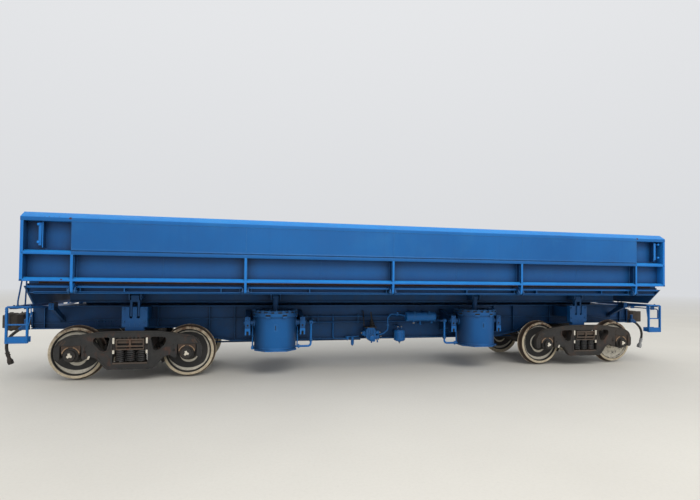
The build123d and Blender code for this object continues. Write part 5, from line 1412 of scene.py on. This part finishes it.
# ================================================================= couplers
def coupler(name, sx):
    bm = bmesh.new()
    Z = R(0.880)
    px = lambda x, y: (sx * x, -sx * y)
    # shank, head, guard arm and knuckle, each a rounded slab, grown into one casting
    add_box(bm, (sx * 6.170, 0, Z), (0.260, 0.128, 0.140))
    head = rounded([px(6.235, 0.085), px(6.290, 0.165), px(6.360, 0.185), px(6.430, 0.170), px(6.440, 0.060), px(6.405, 0.010),
                    px(6.410, -0.060), px(6.440, -0.120), px(6.430, -0.165), px(6.330, -0.170), px(6.260, -0.120), px(6.235, -0.085)], 0.03, 4)
    slab_z(bm, head, Z - 0.130, Z + 0.130)
    guard = rounded([px(6.300, 0.110), px(6.310, 0.188), px(6.440, 0.196), px(6.555, 0.172), px(6.584, 0.130), px(6.568, 0.100), px(6.480, 0.105),
                     px(6.430, 0.070)], 0.022, 4)
    slab_z(bm, guard, Z - 0.122, Z + 0.122)
    knuckle = rounded([px(6.380, -0.080), px(6.430, -0.186), px(6.500, -0.180), px(6.572, -0.128), px(6.580, -0.070), px(6.555, -0.030),
                       px(6.500, -0.022), px(6.478, -0.052), px(6.500, -0.095), px(6.455, -0.120), px(6.410, -0.070)], 0.024, 4)
    slab_z(bm, knuckle, Z - 0.112, Z + 0.112)
    # hinge ears round the knuckle's pin, lock lifter boss below, horn on top
    for z0, z1 in ((-0.150, -0.108), (0.108, 0.150)):
        slab_z(bm, rounded([px(6.340, -0.060), px(6.350, -0.165), px(6.430, -0.190), px(6.492, -0.170), px(6.496, -0.110), px(6.430, -0.060)], 0.03, 4), Z + z0, Z + z1)
    slab_x(bm, rounded([(-0.110, Z + 0.060), (0.110, Z + 0.060), (0.095, Z + 0.152), (-0.095, Z + 0.152)], 0.02, 3), sx * 6.262, sx * 6.312)
    add_box(bm, (sx * 6.360, 0.0, Z - 0.140), (0.100, 0.090, 0.044))
    tmp = bpy.data.meshes.new("tmp")
    bmesh.ops.recalc_face_normals(bm, faces=bm.faces)
    bm.to_mesh(tmp)
    bm.free()
    obj = link(bpy.data.objects.new("tmp", tmp))
    rem = obj.modifiers.new("grow", "REMESH")
    rem.mode, rem.voxel_size, rem.use_smooth_shade = "VOXEL", 0.0068, True
    sm = obj.modifiers.new("smooth", "SMOOTH")
    sm.factor, sm.iterations = 0.5, 6
    dg = bpy.context.evaluated_depsgraph_get()
    mesh = bpy.data.meshes.new_from_object(obj.evaluated_get(dg))
    bpy.data.objects.remove(obj)
    bm = bmesh.new()
    bm.from_mesh(mesh)
    for f in bm.faces:
        f.smooth = True
        f.material_index = 0
    # knuckle pin with its head and nut, the lifter's eye
    x, y = px(6.432, -0.130)
    add_lathe(bm, [(Z - 0.162, 0), (Z - 0.162, 0.016), (Z - 0.156, 0.022), (Z + 0.148, 0.022), (Z + 0.148, 0.034), (Z + 0.158, 0.032), (Z + 0.163, 0.020), (Z + 0.163, 0)],
              (x, y, 0), (0, 0, 1), 20, 1)
    pipe(bm, [(sx * 6.335, 0.0, Z + 0.118), (sx * 6.335, 0.0, Z + 0.150), (sx * 6.335, 0.026, Z + 0.160), (sx * 6.335, 0.030, Z + 0.130)], 0.008, 0.012, 8, 1)
    return bm


bm = bmesh.new()
for end, sx in ENDS:
    part = coupler(end, sx)
    me = bpy.data.meshes.new("tmp")
    part.to_mesh(me)
    part.free()
    bm.from_mesh(me)
    bpy.data.meshes.remove(me)
for f in bm.faces:
    f.smooth = True
to_object(bm, "couplers_shape", "underframe", [COUPLER, CAST_DARK], 0.0, angle=60, replaces=("couplers",))

# ==================================================================== bogies
def coil(bm, base, top_z, radius, bar, turns, segs=20, sides=8, mat=0, phase=0.0):
    """Coil spring, its pitch a little closer at both ends."""
    x, y, z0 = base
    n = int(turns * segs)
    path = []
    for k in range(n + 1):
        s = k / n
        a = phase + 2 * pi * turns * s
        lift = 0.82 * s + 0.18 * (0.5 - 0.5 * cos(pi * s))
        path.append((x + radius * cos(a), y + radius * sin(a), z0 + bar + (top_z - z0 - 2 * bar) * lift))
    add_tube(bm, path, bar, sides, mat)


FRAME_HALF = [(0.0, .795), (.400, .791), (.620, .762), (.935, .716), (1.062, .640), (1.120, .520), (1.117, .385), (1.098, .350), (1.056, .342),
              (1.032, .372), (1.028, .575), (.722, .575), (.718, .372), (.700, .348), (.668, .345), (.606, .400), (.505, .358), (.385, .205), (.340, .174),
              (0.0, .174)]
FRAME_R = [0, .30, .30, .16, .10, .08, .04, .02, .016, .02, .03, .03, .02, .016, .02, .05, .07, .06, .05, 0]
WINDOW = [(.306, .680), (.330, .700), (.520, .696), (.556, .664), (.550, .604), (.452, .486), (.402, .468), (.350, .478)]


def mirrored(half, radii):
    pts = half + [(-x, z) for x, z in half[-2:0:-1]]
    rad = radii + radii[-2:0:-1]
    return pts, rad


frame_pts, frame_rad = mirrored(FRAME_HALF, FRAME_R)
frame_outline = rounded(frame_pts, frame_rad, 5)
window_outline = rounded(WINDOW, 0.05, 5)
spring_hole = rounded([(-.265, .282), (.265, .282), (.265, .688), (-.265, .688)], .022, 4)


def put(points, xb, s=1):
    return [(xb + s * x, R(z)) for x, z in points]


for end, sx in ENDS:
    body = "bogie_%s" % end
    xb = sx * 4.300
    bm = bmesh.new()
    for sy in (-1, 1):
        yo, yi = sy * 1.040, sy * 0.962
        holes = [put(window_outline, xb), put(window_outline, xb, -1), put(spring_hole, xb)]
        slab_y(bm, put(frame_outline, xb), yi, yo, 0, holes)
        # rims: round the windows, along the top and the foot, down the columns
        for s in (-1, 1):
            slab_y(bm, put(grow(window_outline, 0.020), xb, s), yo - sy * 0.004, sy * 1.048, 0, [put(window_outline, xb, s)])
            slab_y(bm, put([(.268, .694), (.268, .276), (.290, .268), (.290, .702)], xb, s), yo - sy * 0.004, sy * 1.0475, 0)
            # a flange along the inner side of the same edges
            slab_y(bm, put(grow(window_outline, 0.016), xb, s), sy * 0.916, yi + sy * 0.004, 0, [put(window_outline, xb, s)])
            slab_y(bm, put(rounded([(.735, .574), (1.015, .574), (1.030, .640), (.930, .690), (.760, .690), (.722, .640)], .03, 4), xb, s),
                   yo - sy * 0.004, sy * 1.0455, 0)
            # pedestal jaws
            for x0, x1 in ((.672, .716), (1.034, 1.078)):
                slab_y(bm, put(rounded([(x0, .365), (x1, .365), (x1, .572), (x0, .572)], .01, 3), xb, s), sy * 0.912, sy * 1.0455, 0)
        top = bend([(-1.085, .560), (-1.048, .636), (-.930, .700), (-.620, .748), (-.400, .778), (0, .782), (.400, .778), (.620, .748), (.930, .700),
                    (1.048, .636), (1.085, .560)], .12, 4)
        slab_y(bm, put(ribbon(top, .014), xb), yo - sy * 0.004, sy * 1.048, 0)
        foot = bend([(-.500, .372), (-.380, .222), (-.335, .190), (.335, .190), (.380, .222), (.500, .372)], .06, 4)
        slab_y(bm, put(ribbon(foot, .020), xb), yo - sy * 0.004, sy * 1.048, 0)
        # spring seat, and the wear lug on the jaw
        slab_y(bm, put([(-.262, .262), (.262, .262), (.262, .286), (-.262, .286)], xb), sy * 0.850, sy * 1.046, 1)
        for x in (-.165, 0, .165):
            add_lathe(bm, [(0, 0), (0, .026), (.022, .022), (.024, 0)], (xb + x, sy * 0.990, R(0.285)), (0, 0, 1), 16, 1)
        slab_y(bm, put(rounded([(-.640, .340), (-.608, .352), (-.590, .405), (-.618, .402)], .008, 3), xb), sy * 1.034, sy * 1.0478, 2)
        for s in (-1, 1):
            # near-black disc on the jaw: painted shade for a hole
            rod(bm, (xb + s * .672, sy * 1.036, R(.470)), (xb + s * .672, sy * 1.0472, R(.470)), 0.022, 18, 4)
            rivet(bm, (xb + s * .655, sy * 1.0400, R(.560)), (0, sy, 0), 0.010, 0)
            # two cast ribs at the shoulder
            for k in (0, 1):
                x1, z1 = 1.048 - .040 * k, .588 - .004 * k
                slab_y(bm, put([(x1, z1), (x1 - .052, z1 + .070), (x1 - .066, z1 + .062), (x1 - .016, z1 - .008)], xb, s), yo - sy * .004, sy * 1.0470, 5)
        # pale marks painted on the columns beside the spring group
        for s in (-1, 1):
            for z0, z1 in ((.592, .688), (.430, .488)):
                slab_y(bm, put(rounded([(.238, z0), (.266, z0), (.266, z1), (.238, z1)], .006, 2), xb, s), sy * 1.020, sy * 1.0478, 2)
    to_object(bm, "bogie_%s_side_frame_castings" % end, body, [CAST if end == "a" else CAST_B, CAST_BROWN, CHALK, CAST_DARK, HOLE_SHADE, ADAPTER],
              0.0060, 3, 40,
              replaces=("bogie_%s_side_frames" % end,))

    # bolster: hollow box beam, rough ribs on its ends, centre bowl and side bearings
    node_copy("bogie_%s_bolster" % end, "bogie_%s_bolster_casting" % end, CAST_BROWN, bevel=0.006)
    bm = bmesh.new()
    for sy in (-1, 1):
        for dx in (-.150, -.090, -.030, .030, .090, .150):
            slab_x(bm, [(sy * .930, R(.671)), (sy * 1.045, R(.671)), (sy * 1.040, R(.694)), (sy * .935, R(.690))], xb + dx - .010, xb + dx + .010, 1)
        # end face: a frame with two deep pockets; the near-black plate behind them is painted shade
        slab_y(bm, put(rounded([(-.213, .490), (.213, .490), (.213, .656), (-.213, .656)], .008, 2), xb), sy * 1.026, sy * 1.0468, 0,
               [put(rounded([(-.196, .512), (-.012, .512), (-.012, .598), (-.196, .598)], .012, 3), xb),
                put(rounded([(.012, .512), (.196, .512), (.196, .598), (.012, .598)], .012, 3), xb)])
        slab_y(bm, put([(-.205, .500), (.205, .500), (.205, .606), (-.205, .606)], xb), sy * 1.012, sy * 1.020, 4)
        slab_y(bm, put([(-.006, .512), (.008, .512), (.008, .590), (-.006, .590)], xb), sy * 1.044, sy * 1.0474, 5)
        # friction wedges
        for s in (-1, 1):
            slab_y(bm, put(rounded([(.216, .545), (.216, .640), (.262, .600), (.262, .440), (.230, .440)], .006, 2), xb, s), sy * .930, sy * 1.032, 1)
        # side bearing with its roller cage
        rbox(bm, (xb - .120, sy * .560, R(.672)), (xb + .120, sy * .700, R(.700)), 0)
        for dx in (-.055, .055):
            rod(bm, (xb + dx, sy * .575, R(.722)), (xb + dx, sy * .685, R(.722)), .030, 20, 2)
        for dx in (-.116, .104):
            rbox(bm, (xb + dx, sy * .565, R(.700)), (xb + dx + .012, sy * .695, R(.735)), 0)
        # second row of springs behind the first
        for dx in (-.0825, .0825):
            coil(bm, (xb + dx, sy * .905, R(.285)), R(.535), .0600, .0160, 7.0, 18, 6, 3, dx * 20)
        for dx in (-.165, 0.0, .165):
            rod(bm, (xb + dx, sy * .985, R(.285)), (xb + dx, sy * .985, R(.535)), .018, 10, 1)
    add_lathe(bm, [(R(.695), .150), (R(.695), .205), (R(.712), .200), (R(.716), .178), (R(.706), .156), (R(.706), .150)], (xb, 0, 0), (0, 0, 1), 40, 0)
    to_object(bm, "bogie_%s_bolster_fittings" % end, body, [CAST_BROWN, CAST_DARK, TREAD, SPRING, HOLE_SHADE, ADAPTER], 0.003, 2, 40)

    # adapters over the bearings
    bm = bmesh.new()
    for s in (-1, 1):
        xa = xb + s * .875
        for sy in (-1, 1):
            saddle = [(-.139, .572), (.139, .572), (.142, .500), (.132, .428), (.116, .424)]
            saddle += [(.1145 * cos(t), .420 + .1145 * sin(t)) for t in [pi * k / 24 for k in range(1, 24)]]
            saddle += [(-.116, .424), (-.132, .428), (-.142, .500)]
            slab_y(bm, [(xa + x, R(z)) for x, z in saddle], sy * .920, sy * 1.036, 0)
            # pale arcs on the adapter's upper shoulders: tan scale, and a painted highlight on the lit edges
            for d in (-1, 1):
                arc = [(r * cos(t), .420 + r * sin(t)) for r, ts in ((.136, range(2, 11)), (.119, range(10, 1, -1))) for t in [pi * k / 24 for k in ts]]
                slab_y(bm, [(xa + d * x, R(z)) for x, z in arc], sy * 1.034, sy * 1.0440, 2)
            rbox(bm, (xa - .045, sy * .925, R(.568)), (xa + .045, sy * 1.030, R(.576)), 1)
            # bearing cup with its seal wear ring
            add_lathe(bm, [(.918, .072), (.918, .112), (.926, .1145), (1.026, .1145), (1.034, .111), (1.036, .098), (1.042, .096), (1.042, .072)],
                      (xa, 0, R(.420)), (0, sy, 0), 48, 1)
    to_object(bm, "bogie_%s_bearing_adapters" % end, body, [ADAPTER, CAST_DARK, TAN_SCALE_AND_HIGHLIGHT], 0.004, 2, 40, replaces=("bogie_%s_bearings" % end,))

    node_copy("bogie_%s_brake_beams" % end, "bogie_%s_brake_beam_shoes" % end, CAST_DARK, bevel=0.006)
    bm = bmesh.new()
    for s in (-1, 1):
        x = xb + s * .345
        # truss rod, strut, lever and hangers of each brake beam
        pipe(bm, [(x - s * .010, -.760, R(.362)), (x - s * .150, 0, R(.385)), (x - s * .010, .760, R(.362))], .016, .10, 12, 0)
        slab_y(bm, [(x, R(.330)), (x - s * .160, R(.365)), (x - s * .160, R(.400)), (x, R(.395))], -.030, .030, 0)
        slab_y(bm, rounded([(x - s * .060, R(.300)), (x - s * .110, R(.290)), (x - s * .150, R(.640)), (x - s * .110, R(.650))], .015, 3), -.012, .012, 0)
        for sy in (-1, 1):
            pipe(bm, [(x, sy * .700, R(.395)), (x + s * .060, sy * .700, R(.560)), (x + s * .060, sy * .880, R(.620))], .012, .04, 10, 0)
            # key and back plate of the shoe
            rbox(bm, (x + s * .030, sy * .735, R(.350)), (x + s * .062, sy * .795, R(.480)), 1)
    pipe(bm, [(xb - .235, .020, R(.300)), (xb + .235, .020, R(.300))], .014, .02, 10, 0)
    to_object(bm, "bogie_%s_brake_gear" % end, body, [CAST_DARK, CAST_BROWN], 0.002, 2, 40)

    bm = bmesh.new()
    for sy in (-1, 1):
        for dx in (-0.165, 0.0, 0.165):
            coil(bm, (xb + dx, sy * 0.972, R(0.285)), R(0.500), 0.0635, 0.0140, 6.2, 24, 8, 0, dx * 9)
            coil(bm, (xb + dx, sy * 0.972, R(0.285)), R(0.500), 0.031, 0.0080, 9.5, 14, 6, 0, 1 + dx * 5)
    to_object(bm, "bogie_%s_coil_springs" % end, body, SPRING, replaces=("bogie_%s_springs" % end,))


# ================================================================= wheelsets
IN_Y = 1.353 / 2
wheel_profile = [(0.668, 0.097), (0.668, 0.128), (0.716, 0.142), (0.738, 0.345), (0.684, 0.352), (IN_Y, 0.362), (IN_Y, 0.430),
                 (0.683, 0.443), (0.693, 0.448), (0.702, 0.443), (0.709, 0.428), (0.718, 0.421), (IN_Y + 0.070, 0.420),
                 (IN_Y + 0.135, 0.416), (IN_Y + 0.135, 0.362), (0.804, 0.352), (0.764, 0.345), (0.744, 0.150), (0.836, 0.136),
                 (0.846, 0.130), (0.846, 0.097)]
axle_profile = [(0, 0.087), (0.640, 0.087), (0.664, 0.097), (0.852, 0.097), (0.864, 0.082), (0.905, 0.082), (0.912, 0.065),
                (1.040, 0.065), (1.040, 0.084), (1.100, 0.084)]
# per wheel: crescent thickness (m) at bottom, top, left, right, and splash on the low web; the crescents are dust and
# painted highlight
WHEEL_DUST_AND_HIGHLIGHT = ((.058, .048, 0, 0), (.046, .024, 0, .034), (.048, .026, .028, .010), (.060, .050, 0, 0, 1.0))
number = 0
for end, sx in ENDS:
    for s in (-1, 1):
        number += 1
        xa = sx * 4.300 + s * 0.875
        body = "wheelset_%d" % number
        bm = bmesh.new()
        for sy in (-1, 1):
            prof = rounded(wheel_profile, [0, .004, .030, .040, .012, .006, .006, .004, .004, .004, .006, .010, 0, .006, .006,
                                           .010, .030, .040, .012, .004, 0], 3)
            mats = []
            for (a, r), (a2, r2) in zip(prof, prof[1:]):
                am, rm = (a + a2) / 2, (r + r2) / 2
                if am > IN_Y + 0.128 and rm > 0.361:
                    mats.append(1)
                elif rm > 0.440 or (am < IN_Y + 0.004 and rm > 0.36):
                    mats.append(1)
                elif rm > 0.4135:
                    mats.append(2)
                else:
                    mats.append(0)
            add_lathe(bm, prof, (xa, 0, R(0.420)), (0, sy, 0), 96, mats)
        web = wheel_paint("wheel_web_%d" % number, xa, *WHEEL_DUST_AND_HIGHLIGHT[number - 1])
        to_object(bm, "wheels_%d_shape" % number, body, [web, rim_paint("wheel_rim_%d" % number, xa, -s), TREAD],
                  replaces=("wheels_%d" % number,))
        bm = bmesh.new()
        for sy in (-1, 1):
            add_lathe(bm, axle_profile + [(1.100, 0.055), (1.094, 0.052), (1.094, 0.0)], (xa, 0, R(0.420)), (0, sy, 0), 40, 0)
            # three bolt heads and the three-cornered plate that locks them
            lock = []
            for k in range(3):
                a = 2 * pi * k / 3 + pi / 2 + 0.12 * number
                hexagon(bm, (xa + 0.028 * cos(a), sy * 1.094, R(0.420) + 0.028 * sin(a)), (0, sy, 0), 0.022, 0.006, 1, False)
                lock += [(xa + 0.044 * cos(a - .40), R(0.420) + 0.044 * sin(a - .40)), (xa + 0.044 * cos(a + .40), R(0.420) + 0.044 * sin(a + .40)),
                         (xa + 0.022 * cos(a + pi / 3), R(0.420) + 0.022 * sin(a + pi / 3))]
            slab_y(bm, lock, sy * 1.0940, sy * 1.0975, 1)
        to_object(bm, "axle_%d_shape" % number, body, [CAST_DARK, CHALK], replaces=("axle_%d" % number,))

# ===================================================================== stage
bm = bmesh.new()
bmesh.ops.create_grid(bm, x_segments=1, y_segments=1, size=150)
me = bpy.data.meshes.new("floor")
bm.to_mesh(me)
bm.free()
SKY, GLOW = (0.80, 0.815, 0.84), 0.86
me.materials.append(concrete("floor_concrete", [c * GLOW for c in SKY]))
ground = link(bpy.data.objects.new("floor", me))
ground.location = (0, 0, -0.002)

world = bpy.data.worlds.new("studio")
bpy.context.scene.world = world
world.use_nodes = True
wn, wl = world.node_tree.nodes, world.node_tree.links
bg = wn["Background"]
tc = wn.new("ShaderNodeTexCoord")
sep = wn.new("ShaderNodeSeparateXYZ")
wl.new(tc.outputs["Generated"], sep.inputs[0])
ramp = wn.new("ShaderNodeValToRGB")
ramp.color_ramp.elements[0].position = 0.0
ramp.color_ramp.elements[0].color = (*SKY, 1)
ramp.color_ramp.elements[1].position = 0.9
ramp.color_ramp.elements[1].color = (1.0, 1.01, 1.03, 1)
wl.new(sep.outputs["Z"], ramp.inputs["Fac"])
wl.new(ramp.outputs["Color"], bg.inputs["Color"])
bg.inputs["Strength"].default_value = GLOW


def area(name, at, target, size, power, color=(1, 1, 1)):
    light = bpy.data.lights.new(name, "AREA")
    light.shape = "RECTANGLE"
    light.size, light.size_y = size
    light.energy = power
    light.color = color
    o = link(bpy.data.objects.new(name, light))
    o.location = at
    o.rotation_euler = (Vector(target) - Vector(at)).to_track_quat("-Z", "Y").to_euler()
    return o


area("key", (3, -14, 14), (0, 0, 1.2), (16, 8), 1650, (1.0, 0.985, 0.96))
area("back", (-6, 14, 13), (0, 0, 1.2), (16, 8), 600, (0.96, 0.98, 1.0))
bpy.context.scene.view_settings.view_transform = "Standard"
